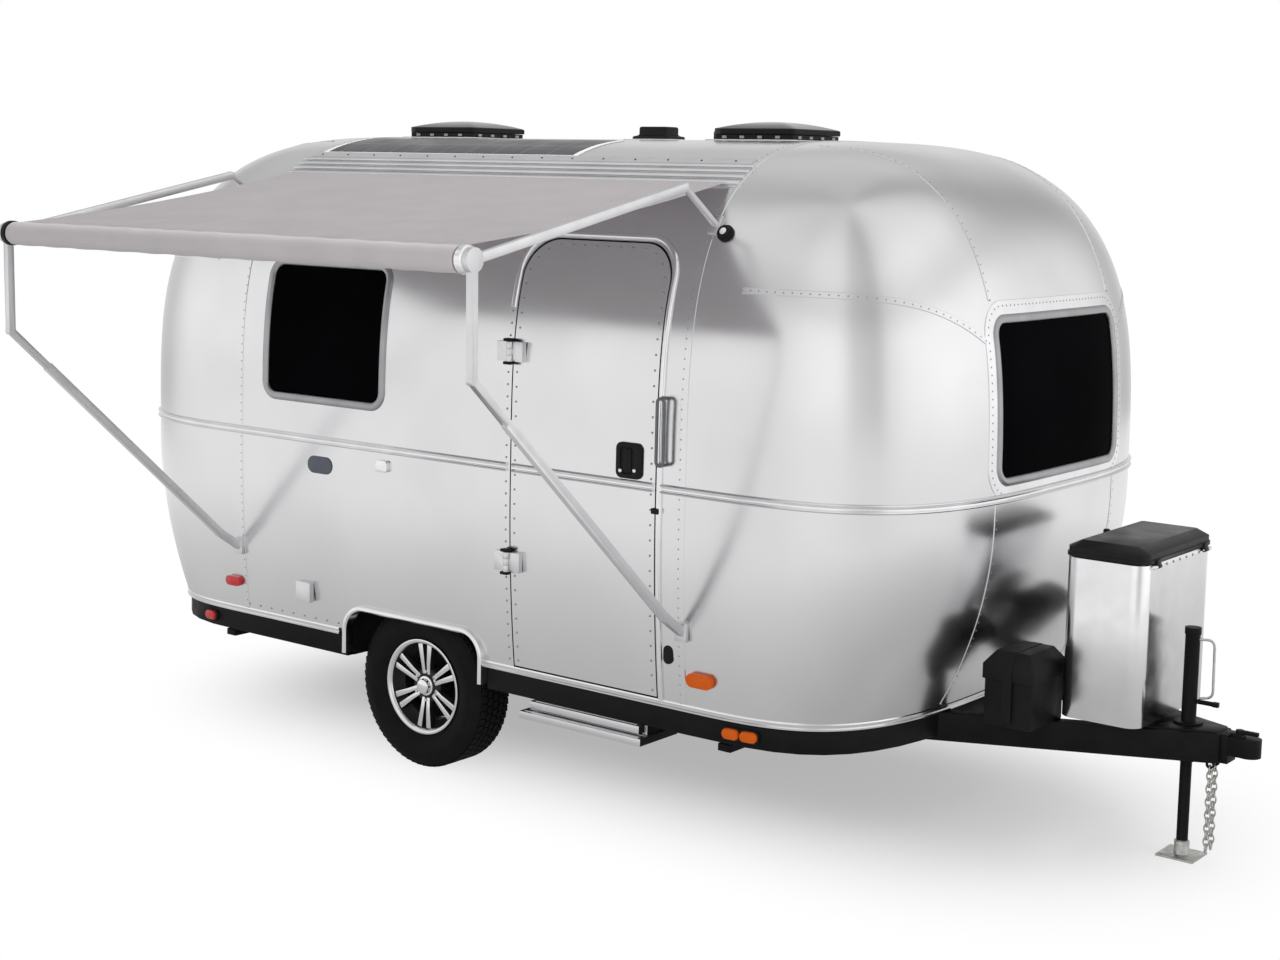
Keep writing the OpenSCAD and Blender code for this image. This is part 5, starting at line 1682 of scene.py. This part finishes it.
@dataclass
class Awning:
    """Cloth, roller, cover rail, rafters and arms."""

    wrinkle: float = 0.008
    folds: float = 34.0
    rows: int = 70
    turns: int = 44
    wrap: float = math.radians(285)
    sag: float = 0.022
    columns: int = 260
    cloth: float = 0.0018
    cap: Profile = ((0.0, 0.004), (0.02, 0.004), (0.044, 0.002), (0.0495, -0.002), (0.0495, -0.024),
                    (0.0, -0.024))

    def __post_init__(self) -> None:
        """Reads the roller's place from the frame."""
        lo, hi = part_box("awning_roller")
        self.axis_y = lo.y + (hi.z - lo.z) / 2
        self.axis_z = (lo.z + hi.z) / 2
        self.radius = (hi.z - lo.z) / 2 - 0.006

    def build(self) -> None:
        """Makes the awning's pieces."""
        self.build_cloth()
        for node, width in (("awning_rail", 0.0015), ("awning_rafters", 0.003), ("awning_arms", 0.003)):
            softened(node, SATIN, width)
        self.build_roller()

    def path(self, start: Vector) -> list[Triple]:
        """The cloth's section, from the cover rail out to the roller and round it.

        Args:
            start: Y and Z of its edge at the rail.

        Returns:
            Y, Z and the share of the way to the roller.
        """
        stop = Vector((self.axis_y, self.axis_z + self.radius + self.cloth))
        path = []
        for s in np.linspace(0, 1, self.rows):
            p = start.lerp(stop, s)
            path.append((p.x, p.y - self.sag * 4 * s * (1 - s), s))
        for a in np.linspace(0, self.wrap, self.turns)[1:]:
            r = self.radius + self.cloth + 0.0012 * a / self.wrap
            path.append((self.axis_y - r * math.sin(a), self.axis_z + r * math.cos(a), 1.0))
        return path

    def build_cloth(self) -> None:
        """One sheet with slack and small wrinkles, held by the cover rail and wound on the roller."""
        lo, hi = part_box("awning_fabric")
        path = self.path(Vector((hi.y, hi.z - 0.0015)))
        xs, cols = np.linspace(lo.x, hi.x, self.columns), self.columns
        verts, flat, run = [], [], 0.0
        for k, (y, z, s) in enumerate(path):
            run += math.dist(path[k - 1][:2], (y, z)) if k else 0.0
            out = Vector((y - self.axis_y, z - self.axis_z)).normalized()
            for x in xs:
                lift = self.ripple(x, run, s)
                if s >= 1.0:
                    proud = (lift + self.wrinkle) * 0.3
                    verts.append((x, y + out.x * proud, z + out.y * proud))
                else:
                    verts.append((x, y, z + lift))
                flat.append((x, run))
        faces = [(r * cols + c, r * cols + c + 1, (r + 1) * cols + c + 1, (r + 1) * cols + c)
                 for r in range(len(path) - 1) for c in range(cols - 1)]
        mesh = bpy.data.meshes.new("awning_cloth")
        mesh.from_pydata(verts, [], faces)
        lay_flat(mesh, lambda k: flat[k])
        mesh.shade_smooth()
        for k, face in enumerate(mesh.polygons):
            # Faces wound on the roller take the cloth with painted light.
            face.material_index = int(k >= (self.rows - 1) * (cols - 1))
        piece = add_piece("awning_cloth", mesh, [CLOTH, PAINTED_LIGHT_CLOTH_ROLL], TRAILER, "awning_cloth", ["awning_fabric"])

    def ripple(self, x: float, run: float, s: float) -> float:
        """Height of the small wrinkles, strongest towards the roller.

        Args:
            x: Place along the roller.
            run: Length of cloth from the rail.
            s: Share of the way to the roller.

        Returns:
            The height.
        """
        slow = noise.noise(Vector((x * 1.6, run * 1.1, 3.7)))
        bend = noise.noise(Vector((x * 1.3, run * 2.2, 0.4)))
        fold = math.sin(x * self.folds + 7 * bend + run * 4) * (0.35 + 0.65 * abs(slow))
        return self.wrinkle * (s ** 4 * fold + 0.8 * s * slow) if s > 0.02 else 0.0

    def build_roller(self) -> None:
        """Wound roller with a black rear cap, and a bright fitting at the front end."""
        lo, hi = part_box("awning_roller")
        # The roller is covered in the wound cloth with painted light.
        softened("awning_roller", PAINTED_LIGHT_CLOTH_ROLL, 0.002)
        verts, faces = lathe(self.cap, turns=40)
        for word, x, way, finish in (("rear", lo.x, -1, BLACK_PLASTIC), ("front", hi.x, 1, CHROME)):
            ring = [(x + way * v[1], self.axis_y + v[0], self.axis_z + v[2]) for v in verts]
            solid(f"roller_{word}_cap", (ring, faces), finish, TRAILER, "awning_cloth")


@dataclass
class Dressing:
    """Finishes of the solids whose CAD form is kept, with their edges rounded."""

    plain: tuple[tuple[str, Finish, float], ...] = (
        ("a_frame", BLACK_PAINT, 0.004), ("coupler", BLACK_PAINT, 0.004), ("jack_post", BLACK_PAINT, 0.003),
        ("jack_leg", ZINC, 0.002), ("belly_pan", BLACK_PAINT, 0.003), ("floor_deck", FLOOR_PLY, 0.002),
        ("axle", BLACK_PAINT, 0.004), ("wheel_wells", BLACK_PLASTIC, 0.003), ("gas_cover", BRIGHT, 0.002),
        ("gas_lid", BLACK_LID, 0.005), ("gas_bottles", WHITE_PAINT, 0.002),
        ("battery_boxes", BLACK_PLASTIC, 0.006),
        ("red_lamps", RED_LENS, 0.005), ("amber_lamps", AMBER_LENS, 0.005),
        ("porch_lamp", BLACK_PLASTIC, 0.003),
        ("entry_step", SATIN, 0.003), ("stabilisers", BLACK_PAINT, 0.003),
        ("side_fittings", GREY_PLASTIC, 0.0015),
        ("door_latch", BLACK_PLASTIC, 0.002), ("door_hinge_leaves", SATIN, 0.003),
        ("wall_hinge_leaves", SATIN, 0.003), ("roof_antenna", BLACK_PLASTIC, 0.014),
        ("vent_frames", BLACK_PLASTIC, 0.002))
    foot_top: float = 0.062
    outlet_top: float = 0.9
    catch_rear: float = -3.25

    def build(self) -> None:
        """Dresses each solid in turn, and repaints those of several materials."""
        made = {node: softened(node, finish, width) for node, finish, width in self.plain}
        repaint(made["jack_leg"], [BLACK_PAINT, ZINC], lambda face: int(face.center.z < self.foot_top))
        repaint(made["entry_step"], [SATIN, BLACK_PLASTIC], lambda face: int(abs(face.normal.x) > 0.7))
        repaint(made["side_fittings"], [SATIN, CHROME, PLATE_BLUE], self.fitting_finish)

    def fitting_finish(self, face: MeshPolygon) -> int:
        """Chooses a side fitting's finish: plain for hatch and outlet, bright catch, dark plate.

        Args:
            face: A face of the side fittings.

        Returns:
            The finish's index.
        """
        x, y, z = face.center
        if y > 0 or z < self.outlet_top:
            return 0
        return 1 if x > self.catch_rear else 2


@dataclass
class Chains:
    """Two safety chains of bent wire links."""

    links: int = 13
    pitch: float = 0.0257
    first: float = 0.03876
    apart: float = 0.026
    link_size: Triple = (0.0165, 0.0105, 0.0115)
    eye: float = 0.0125
    eye_drop: float = 0.018

    def build(self) -> None:
        """Makes the links, and the tabs that they hang from."""
        lo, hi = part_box("safety_chains")
        x, top = (lo.x + hi.x) / 2, hi.z
        spots, tabs = [], []
        wire = mirrored([(0.0045, 0.004), (-0.0035, 0.004)])
        for side in Side:
            y = side.value * self.apart
            spots += [((x, y, top - self.first - k * self.pitch), (0, 1, 0) if k % 2 else (1, 0, 0), (0, 0, 1))
                      for k in range(self.links)]
            ring = [((x + a, y, top - self.eye_drop + b), (a, 0, b)) for a, b in disc(self.eye, 24)]
            tabs.append(sweep(ring, wire, True))
        Scatter.place("chain_links", spots, Shape.LINK, self.link_size, ZINC, TRAILER, "zinc",
                      ["safety_chains"])
        solid("chain_tabs", joined(tabs), BLACK_PAINT, TRAILER, "chassis_black")


@dataclass
class RoofGear:
    """Solar film with its edging, and the cover strip with its screws."""

    form: ShellForm
    screw: Triple = (0.0048, 0.0048, 0.0026)
    screw_gap: float = 0.165
    unroll_z: float = 1.45
    unroll_r: float = 1.25

    def build(self) -> None:
        """Makes the sheets as smooth patches on the roof's curb side."""
        lo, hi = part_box("solar_panel")
        rail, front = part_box("awning_rail")[0].x, self.form.front_x
        self.patch("solar_patch", (lo.x + 0.03, hi.x - 0.03), (64.2, 79.5), 0.0046, SOLAR, "solar_film",
                   ["solar_panel"])
        self.patch("solar_edging", (lo.x, hi.x), (63.2, 80), 0.0032, SEALANT, "solar_film")
        self.patch("cover_strip", (rail, front - 0.018), (60.1, 63.4), 0.006, SATIN, "bright_trim")
        y, z = self.form.section(math.radians(61.6), math.radians(62), 0, 2)[0]
        spots = []
        for x in np.arange(rail + 0.06, front - 0.05, self.screw_gap):
            n = self.form.normal(x, -y, z)
            spots.append((np.array([x, -y, z]) + n * 0.0068, n, (1, 0, 0)))
        Scatter.place("solar_screws", spots, Shape.DOME, self.screw, BLACK_PLASTIC, TRAILER, "black_plastic")

    def patch(self, name: str, reach: tuple[float, float], degrees: tuple[float, float], lift: float,
              finish: Finish, slot: str, replaces: Sequence[str] = ()) -> None:
        """A thin sheet on the roof between two angles of its section.

        Args:
            name: The piece's name.
            reach: Its ends on X.
            degrees: The angles.
            lift: Height of its face.
            finish: Its finish.
            slot: The record's material slot; not used.
            replaces: Nodes that it stands for.
        """
        low, high = (math.radians(angle) for angle in degrees)
        grids = [np.array([[(x, -y, z) for x in np.linspace(*reach, 40)]
                           for y, z in self.form.section(low, high, -rise, 24)]) for rise in (lift, 0.0004)]
        mesh = shade(skin_mesh(name, *grids), 40)
        points = [(v.co.x, math.atan2(v.co.z - self.unroll_z, -v.co.y) * self.unroll_r) for v in mesh.vertices]
        lay_flat(mesh, lambda k: points[k])
        add_piece(name, mesh, [finish], TRAILER, slot, replaces)


@dataclass
class Hardware:
    """Small fittings of the door and walls: latch studs, hinge ends, catches and lamps."""

    shell: Shell
    stud: Triple = (0.010, 0.010, 0.005)
    hinge_cap: float = 0.0135
    hinge_tall: float = 0.08
    pan_in: float = 0.014
    handle_tube: float = 0.0065
    handle_in: float = 0.008

    def build(self) -> None:
        """Makes the fittings."""
        self.build_handle()
        self.build_latch_studs()
        self.build_hinge_ends()
        self.build_catches()
        self.build_low_lamps()
        self.build_porch_lens()
        self.build_step_ribs()

    def build_handle(self) -> None:
        """The grab handle: a long oval loop of tube on two short posts."""
        lo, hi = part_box("grab_handle")
        r, mid = self.handle_tube, (lo + hi) / 2
        wide, tall, y = hi.x - lo.x - 2 * r, hi.z - lo.z - 2 * r, lo.y + r + self.handle_in
        oval = rounded_rect(wide, tall, wide / 2 - 0.0005)
        parts = [sweep([((mid.x + a, y, mid.z + b), (0, -1, 0)) for a, b in oval], disc(r, 12), True)]
        parts += [tube([(mid.x, at, mid.z + way * tall / 2) for at in np.linspace(y, hi.y, 4)], r, 12)
                  for way in (-1, 1)]
        solid("grab_handle_loop", joined(parts), HANDLE, TRAILER, "grey_handle", ["grab_handle"], 50)

    def build_latch_studs(self) -> None:
        """Two bright studs on the latch."""
        lo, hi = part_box("door_latch")
        spots = [((lo.x + (hi.x - lo.x) * a, lo.y + 0.002, lo.z + (hi.z - lo.z) * b), (0, -1, 0), (1, 0, 0))
                 for a, b in ((0.17, 0.2), (0.72, 0.24))]
        Scatter.place("latch_studs", spots, Shape.DOME, self.stud, CHROME, DOOR, "bright_trim")

    def build_hinge_ends(self) -> None:
        """Black ends on the hinge pins, above and below each hinge."""
        lo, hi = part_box("wall_hinge_leaves")
        x, y, _ = PIN_OF[DOOR]
        r, half, parts = self.hinge_cap, self.hinge_tall / 2, []
        for z in (lo.z + 0.002 + half, hi.z - 0.002 - half):
            for way in (-1, 1):
                low, high = sorted((z + way * (half + 0.0006), z + way * (half + 0.013)))
                parts.append(block((x - r - 0.012, y - r, low), (x + r, y + r + 0.004, high), 0.004))
        add_piece("hinge_ends", merged("hinge_ends", parts), [BLACK_PLASTIC], TRAILER, "black_plastic")

    def build_catches(self) -> None:
        """A small black hold-back by the doorway and a black oval vent low on the wall."""
        put, edge = self.shell.form.on_side, self.shell.door_front
        p, _ = put(edge + 0.006, 1.292, Side.CURB)
        parts = [block(p + np.array([-0.017, -0.020, -0.011]), p + np.array([0.017, 0.004, 0.011]), 0.003)]
        p, n = put(edge + 0.058, 0.735, Side.CURB)
        parts.append(pill(p, (n[0], n[1], 0), (0.044, 0.074, 0.006), 0.0215))
        add_piece("wall_catches", merged("wall_catches", parts), [BLACK_PLASTIC], TRAILER, "black_plastic")

    def pan_point(self, end: End, degrees: float) -> tuple[Vector, Vector]:
        """A point on the belly pan's rim round a corner.

        Args:
            end: Which end of the pan.
            degrees: Angle round the corner, from straight ahead.

        Returns:
            The point and the direction out.
        """
        form = self.shell.form
        a, p = math.radians(degrees), 2 / form.plan_n
        d, w = form.depth(form.sill_z, end) - self.pan_in, form.half(form.sill_z) - self.pan_in
        lo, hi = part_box("belly_pan")
        c, s = math.cos(a), math.sin(a)
        point = Vector((form.seam(end) + end.value * d * c ** p, math.copysign(w * abs(s) ** p, s),
                        (lo.z + hi.z) / 2))
        out = Vector((end.value * c ** (2 - p) / d, math.copysign(abs(s) ** (2 - p) / w, s), 0))
        return point, out.normalized()

    def build_low_lamps(self) -> None:
        """Marker lamps on the belly pan's corners, in black holders."""
        holders = []
        for end, turns, finish, word in ((End.FRONT, (-83.5, -79.0, 79.0, 83.5), AMBER_LENS, "amber"),
                                         (End.REAR, (-81.0, 81.0), RED_LENS, "red")):
            lenses = []
            for degrees in turns:
                point, out = self.pan_point(end, degrees)
                holders.append(pill(point, out, (0.086, 0.054, 0.008), 0.02))
                lenses.append(pill(point + out * 0.008, out, (0.072, 0.042, 0.014), 0.0195))
            add_piece(f"{word}_markers", merged("markers", lenses), [finish], TRAILER, f"{word}_lens")
        add_piece("marker_holders", merged("holders", holders), [BLACK_PLASTIC], TRAILER, "black_plastic")

    def build_porch_lens(self) -> None:
        """A white lens on the porch lamp."""
        lo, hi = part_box("porch_lamp")
        mid = (lo + hi) / 2
        n = Vector(self.shell.form.normal(mid.x, mid.y, mid.z))
        Scatter.place("porch_lens", [(mid + n * 0.011, n, (1, 0, 0))], Shape.DOME, (0.019, 0.019, 0.010),
                      SEALANT, TRAILER, "white_paint")

    def build_step_ribs(self) -> None:
        """Grip ribs along both step treads."""
        lo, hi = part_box("entry_step")
        inset, ribs = 0.030, []
        for z, x0, x1, y0 in ((lo.z + 0.076, lo.x + inset, hi.x - inset, lo.y + inset),
                              (lo.z + 0.036, lo.x, hi.x, lo.y)):
            for k in range(6):
                y = y0 + 0.02 + k * 0.035
                rows = [((x, y, z), (0, 0, 1)) for x in (x0 + 0.02, (x0 + x1) / 2, x1 - 0.02)]
                ribs.append(sweep(rows, bead(0.012, 0.003, 6, -0.002)))
        solid("step_ribs", joined(ribs), SATIN, TRAILER, "bright_trim", degrees=50)


@dataclass
class Tongue:
    """Jack handle, gas cover rivets and knob, battery straps."""

    gas_rivet: Triple = (0.0055, 0.0055, 0.0035)
    gas_ears: float = 0.018
    knob: Profile = (
        (0.0, 0.030), (0.010, 0.030), (0.0135, 0.026), (0.0135, 0.014), (0.009, 0.010), (0.009, -0.006),
        (0.0, -0.006))
    strap: Profile = ((-0.001, 0.019), (0.0022, 0.019))

    def build(self) -> None:
        """Makes the pieces on the tongue."""
        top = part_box("jack_post")[1].z
        path = bowed([(0.022, 0, top - 0.045), (0.075, 0.03, top - 0.045), (0.078, 0.032, top - 0.27),
                      (0.030, 0.012, top - 0.275)], 0.03)
        solid("jack_pull", tube(path, 0.005), ZINC, TRAILER, "zinc", degrees=50)
        self.build_gas()
        self.build_straps()

    def build_gas(self) -> None:
        """Rivets under the gas cover's lid, and the lid's knob."""
        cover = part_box("gas_cover")[1]
        spots = [((cover.x - self.gas_ears + 0.0005, y, cover.z - 0.014), (1, 0, 0), (0, 1, 0))
                 for y in np.linspace(-0.25, 0.25, 9)]
        Scatter.place("gas_cover_rivets", spots, Shape.DOME, self.gas_rivet, RIVET, TRAILER, "bright_trim")
        lo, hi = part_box("gas_lid")
        verts, faces = lathe(self.knob, turns=20)
        upright = [(lo.x + 0.028 + v[0], v[2], hi.z - 0.030 + v[1]) for v in verts]
        solid("gas_lid_knob", (upright, faces), BLACK_PLASTIC, "gas_cover_lid", "black_plastic")

    def build_straps(self) -> None:
        """A webbing strap over each battery box."""
        lo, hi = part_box("battery_boxes")
        x, rise = (lo.x + hi.x) / 2, hi.z - lo.z
        foot, lip, straps = lo.z + 0.02, lo.z + rise * 0.82, []
        for side in Side:
            line = ((0.242, foot), (0.242, lip), (0.280, hi.z), (0.490, hi.z), (0.528, lip), (0.528, foot))
            path = bowed([(x, side.value * y, z) for y, z in line], 0.008, 4)
            middle = (x, side.value * 0.385, lo.z + rise * 0.4)
            straps.append(sweep(facing_out(path, (1, 0, 0), middle), mirrored(list(self.strap))))
        solid("battery_straps", joined(straps), BLACK_PLASTIC, TRAILER, "black_plastic", degrees=40)


@dataclass
class VentGear:
    """Domed lids, rim bands, louvres, pale flanges and screens of the roof vents, and the antenna's sealant."""

    side: float = 0.400
    louvres: int = 4
    louvre: Triple = (0.022, 0.011, 0.006)
    spread: float = 0.36
    skirt: float = 0.024
    shell: float = 0.005
    lid_lap: float = 0.003
    seal_gap: float = 0.002
    corner: float = 0.036
    flange: Profile = ((-0.004, 0.022), (0.003, 0.022))

    def build(self) -> None:
        """Makes both roof vents' details and the antenna's sealant."""
        louvres, flanges, screens = [], [], []
        base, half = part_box("vent_frames")[0].z, self.side / 2
        level, inside, wide = base + 0.0135, half - 0.02, self.side + 0.022
        for node, body in (("vent_lid_rear", "rear_vent_lid"), ("vent_lid_front", "front_vent_lid")):
            lo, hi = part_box(node)
            x = hi.x - half - self.lid_lap
            rows = [((x + a, b, base), (0, 0, 1)) for a, b in rounded_rect(wide, wide, 0.02)]
            flanges.append(to_mesh("flange", sweep(rows, mirrored(list(self.flange)), True)))
            screens.append(block((x - inside, -inside, base - 0.004), (x + inside, inside, base + 0.004),
                                 0.001))
            for k in range(self.louvres):
                s = ((k + 0.5) / self.louvres - 0.5) * self.spread
                louvres += [((x + s, way * (half + 0.001), level), (0, way, 0), (1, 0, 0)) for way in (-1, 1)]
                louvres.append(((x + half + 0.001, s, level), (1, 0, 0), (0, 1, 0)))
            self.build_lid(x, lo.x, hi.z, node, body)
            self.build_band(x, lo.z + 0.014, node, body)
        Scatter.place("vent_louvres", louvres, Shape.BLOCK, self.louvre, GREY_PLASTIC, TRAILER, "grey_plastic")
        lo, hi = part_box("roof_antenna")
        flanges.append(block((lo.x - 0.03, lo.y - 0.025, lo.z - 0.004),
                             (hi.x + 0.03, hi.y + 0.025, lo.z + 0.004), 0.002))
        add_piece("roof_sealant", merged("sealant", flanges), [SEALANT], TRAILER, "white_paint")
        add_piece("vent_screens", merged("screens", screens), [BLACK_PLASTIC], TRAILER, "black_plastic")

    def build_lid(self, x: float, rear: float, top: float, node: str, body: str) -> None:
        """A smoked lid: a rounded square dome on a skirt, with the hinge knuckle along its rear edge.

        Args:
            x: Middle of the vent.
            rear: The lid's rear end.
            top: Height of its crown.
            node: The CAD node that it stands for.
            body: The lid's body.
        """
        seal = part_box("vent_frames")[0].z + self.skirt + self.seal_gap
        edge, wide = seal + self.skirt, self.side + 2 * self.lid_lap
        rise, inner = top - edge, 1 - 2 * self.shell / wide
        steps = np.linspace(0, 1, 16)
        profile = [(s, edge + rise * (1 - s * s)) for s in steps] + [(1.0, seal), (inner, seal)]
        profile += [(s * inner, edge - self.shell + rise * (1 - s * s)) for s in steps[::-1]]
        outline = rounded_rect(wide, wide, self.corner)
        verts = [(x + a * s, b * s, z) for s, z in profile for a, b in outline]
        count, faces = len(outline), []
        for k in range(len(profile) - 1):
            faces += ring_faces(count, k * count, (k + 1) * count)
        pin_x, _, pin_z = PIN_OF[body]
        knuckle, reach = pin_x - rear, 0.12
        rod = tube([(pin_x, y, pin_z) for y in np.linspace(-reach, reach, 5)], knuckle, 20)
        leaf = block((pin_x, -reach, pin_z - 0.002), (pin_x + 0.016, reach, pin_z + knuckle), 0.002)
        parts = [to_mesh("dome", (verts, faces)), to_mesh("rod", rod), leaf]
        add_piece(node + "_dome", merged(node, parts), [SMOKED], body, "smoked_plastic", [node])

    def build_band(self, x: float, z: float, node: str, body: str) -> None:
        """A black band round three sides of a lid, clear of its hinge.

        Args:
            x: Middle of the vent.
            z: Height of the band.
            node: The lid's CAD node.
            body: The lid's body.
        """
        half = self.side / 2 + self.lid_lap
        rear, front = x - half + 0.05, x + half
        path = bowed([(rear, -half, z), (front, -half, z), (front, half, z), (rear, half, z)], self.corner, 8)
        band = sweep(facing_out(path, (0, 0, 1), (x, 0, z)), lap(0.022, 0.004))
        solid(node + "_band", band, BLACK_PLASTIC, body, "black_plastic", degrees=40)


# Stage

@dataclass
class Studio:
    """Camera at the photograph's view, pale floor, soft lights and a studio surround for reflections."""

    place: Triple = (2.8167, -7.3104, 2.5873)
    yaw: float = 38.364
    pitch: float = -6.3705
    roll: float = 1.1487
    lens: float = 56.25
    shift: tuple[float, float] = (0.0414, -0.0689)
    floor_half: float = 15.0
    shadow_mid: Triple = (-2.3, 0.0, 0.0)
    shadow_half: Triple = (1.5, 0.1, 0.0)
    walls: Profile = (
        (0.0, 0.56), (0.09, 0.84), (0.20, 0.78), (0.26, 0.90), (0.31, 0.92), (0.36, 0.62), (0.405, 0.55),
        (0.445, 0.86), (0.49, 0.97), (0.55, 1.0), (0.64, 0.95), (0.685, 0.78), (0.735, 0.46), (0.79, 0.66),
        (0.86, 0.66), (1.0, 0.56))
    rise: Profile = (
        (0.0, 0.45), (0.36, 0.66), (0.5, 1.0), (0.63, 0.97), (0.72, 0.72), (0.84, 0.86), (1.0, 0.74))
    lamps: tuple[tuple[str, Point, Point, float, float], ...] = (
        ("overhead", (-3.0, 1.6, 8.5), (-2.4, -0.4, 1.0), 6.0, 440.0),
        ("camera_side", (1.5, -9.0, 5.0), (-2.2, -0.5, 1.2), 6.0, 200.0),
        ("front", (7.5, 1.0, 4.5), (-1.0, 0, 1.2), 5.0, 150.0))

    def build(self) -> None:
        """Makes the stage."""
        scene = bpy.context.scene
        scene.view_settings.view_transform = "Standard"
        self.build_camera(scene)
        self.build_floor()
        self.build_world(scene)
        self.build_lights()

    def build_camera(self, scene: Scene) -> None:
        """Sets the camera from the fitted view.

        Args:
            scene: The scene that it films.
        """
        data = bpy.data.cameras.new("view")
        data.lens, data.sensor_width = self.lens, 36.0
        data.shift_x, data.shift_y = self.shift
        data.clip_end = 200.0
        camera = link("view", data)
        camera.location = self.place
        turn = Euler((math.radians(90 + self.pitch), 0, math.radians(self.yaw)), "XYZ").to_matrix()
        spin = Euler((0, 0, math.radians(self.roll)), "XYZ").to_matrix()
        camera.rotation_euler = (turn @ spin).to_euler()
        scene.camera = camera

    def build_floor(self) -> None:
        """A pale floor that keeps the object's shadow and turns plain white far off; in reflections it glows
        with a painted shade, dimmer towards the object.
        """
        s = self.floor_half
        mesh = to_mesh("floor", ([(-s, -s, 0), (s, -s, 0), (s, s, 0), (-s, s, 0)], [(0, 1, 2, 3)]))
        material = bpy.data.materials.new("pale_floor")
        material.use_nodes = True
        graph = Graph(material.node_tree)
        shader = graph.tree.nodes["Principled BSDF"]
        graph.feed(shader, {"Base Color": (0.86, 0.86, 0.86, 1), "Roughness": 0.9})
        ray = graph.add("ShaderNodeLightPath").outputs
        away = graph.add("ShaderNodeTexCoord").outputs["Object"]
        for operation, value in (("SUBTRACT", self.shadow_mid), ("ABSOLUTE", (0, 0, 0)),
                                 ("SUBTRACT", self.shadow_half), ("MAXIMUM", (0, 0, 0))):
            away = graph.add("ShaderNodeVectorMath", {0: away, 1: value}, operation=operation)
        away = graph.add("ShaderNodeVectorMath", {0: away}, operation="LENGTH").outputs["Value"]
        far = graph.add("ShaderNodeMapRange", {"Value": away, "From Min": 0.2, "From Max": 1.5, "To Min": 0.42},
                        interpolation_type="SMOOTHSTEP")
        # Painted shade: to reflections the floor glows at 0.42 near the object, brightening to 0.95 far off.
        painted_floor_shade = graph.add("ShaderNodeMapRange", {"Value": away, "From Min": 0.5, "From Max": 6.0, "To Min": 0.42,
                                                "To Max": 0.95})
        glow = graph.add("ShaderNodeEmission", {"Strength": graph.math("MAXIMUM", painted_floor_shade, ray["Is Camera Ray"])})
        seen = graph.math("ADD", ray["Is Camera Ray"], ray["Is Glossy Ray"], use_clamp=True)
        mix = graph.add("ShaderNodeMixShader", {"Fac": graph.math("MULTIPLY", far, seen), 1: shader, 2: glow})
        graph.feed(graph.tree.nodes["Material Output"], {"Surface": mix})
        mesh.materials.append(material)
        link("floor", mesh)

    def build_world(self, scene: Scene) -> None:
        """White to the camera; to metal and glass a pale room with a few darker walls.

        Args:
            scene: The scene that it surrounds.
        """
        world = bpy.data.worlds.new("studio")
        scene.world = world
        world.use_nodes = True
        graph = Graph(world.node_tree)
        plain = graph.tree.nodes["Background"]
        graph.feed(plain, {"Color": WHITE, "Strength": 0.6})
        white = graph.add("ShaderNodeBackground", {"Color": WHITE})
        place = graph.add("ShaderNodeTexCoord").outputs["Generated"]
        axes = graph.add("ShaderNodeSeparateXYZ", {"Vector": place}).outputs
        bearing = graph.math("ARCTAN2", axes["Y"], axes["X"])
        turn = graph.add("ShaderNodeMapRange", {"Value": bearing, "From Min": -math.pi, "From Max": math.pi})
        level = graph.add("ShaderNodeMapRange", {"Value": axes["Z"], "From Min": -1.0})
        both = graph.add("ShaderNodeMix", {"Factor": 1.0, "A": self.ramp(graph, turn, self.walls),
                                           "B": self.ramp(graph, level, self.rise)},
                         data_type="RGBA", blend_type="MULTIPLY")
        room = graph.add("ShaderNodeBackground", {"Color": both.outputs["Result"], "Strength": 1.22})
        ray = graph.add("ShaderNodeLightPath").outputs
        shiny = graph.math("ADD", ray["Is Glossy Ray"], ray["Is Transmission Ray"], use_clamp=True)
        lit = graph.add("ShaderNodeMixShader", {"Fac": shiny, 1: plain, 2: room})
        seen = graph.add("ShaderNodeMixShader", {"Fac": ray["Is Camera Ray"], 1: lit, 2: white})
        graph.feed(graph.tree.nodes["World Output"], {"Surface": seen})

    @staticmethod
    def ramp(graph: Graph, along: Node, stops: Profile) -> Node:
        """Adds a grey ramp.

        Args:
            graph: The world's graph.
            along: The node that gives the place on it.
            stops: Places and levels.

        Returns:
            The ramp's node.
        """
        ramp = graph.add("ShaderNodeValToRGB", {"Fac": along})
        ramp.color_ramp.interpolation = "EASE"
        marks = ramp.color_ramp.elements
        while len(marks) < len(stops):
            marks.new(0.5)
        for mark, (at, level) in zip(marks, stops):
            mark.position = at
            mark.color = (level, level, level, 1)
        return ramp

    def build_lights(self) -> None:
        """Large soft lamps: overhead behind, from the camera's side, and low from the front."""
        for name, place, aim, size, power in self.lamps:
            data = bpy.data.lights.new(name, "AREA")
            data.shape, data.size, data.energy = "SQUARE", size, power
            lamp = link(name, data)
            lamp.location = place
            lamp.visible_glossy = False
            lamp.rotation_euler = (Vector(aim) - Vector(place)).to_track_quat("-Z", "Y").to_euler()


def main() -> None:
    """Builds the caravan's pieces in order."""
    logging.basicConfig(level=logging.INFO, format="%(message)s")
    form = ShellForm.from_frame()
    shell = Shell(form)
    for assembly in (Studio(), shell, Wheels(), Awning(), Dressing(), Chains(), RoofGear(form), Hardware(shell),
                     Tongue(), VentGear()):
        LOG.info("building %s", type(assembly).__name__)
        assembly.build()


if __name__ == "__main__":
    main()
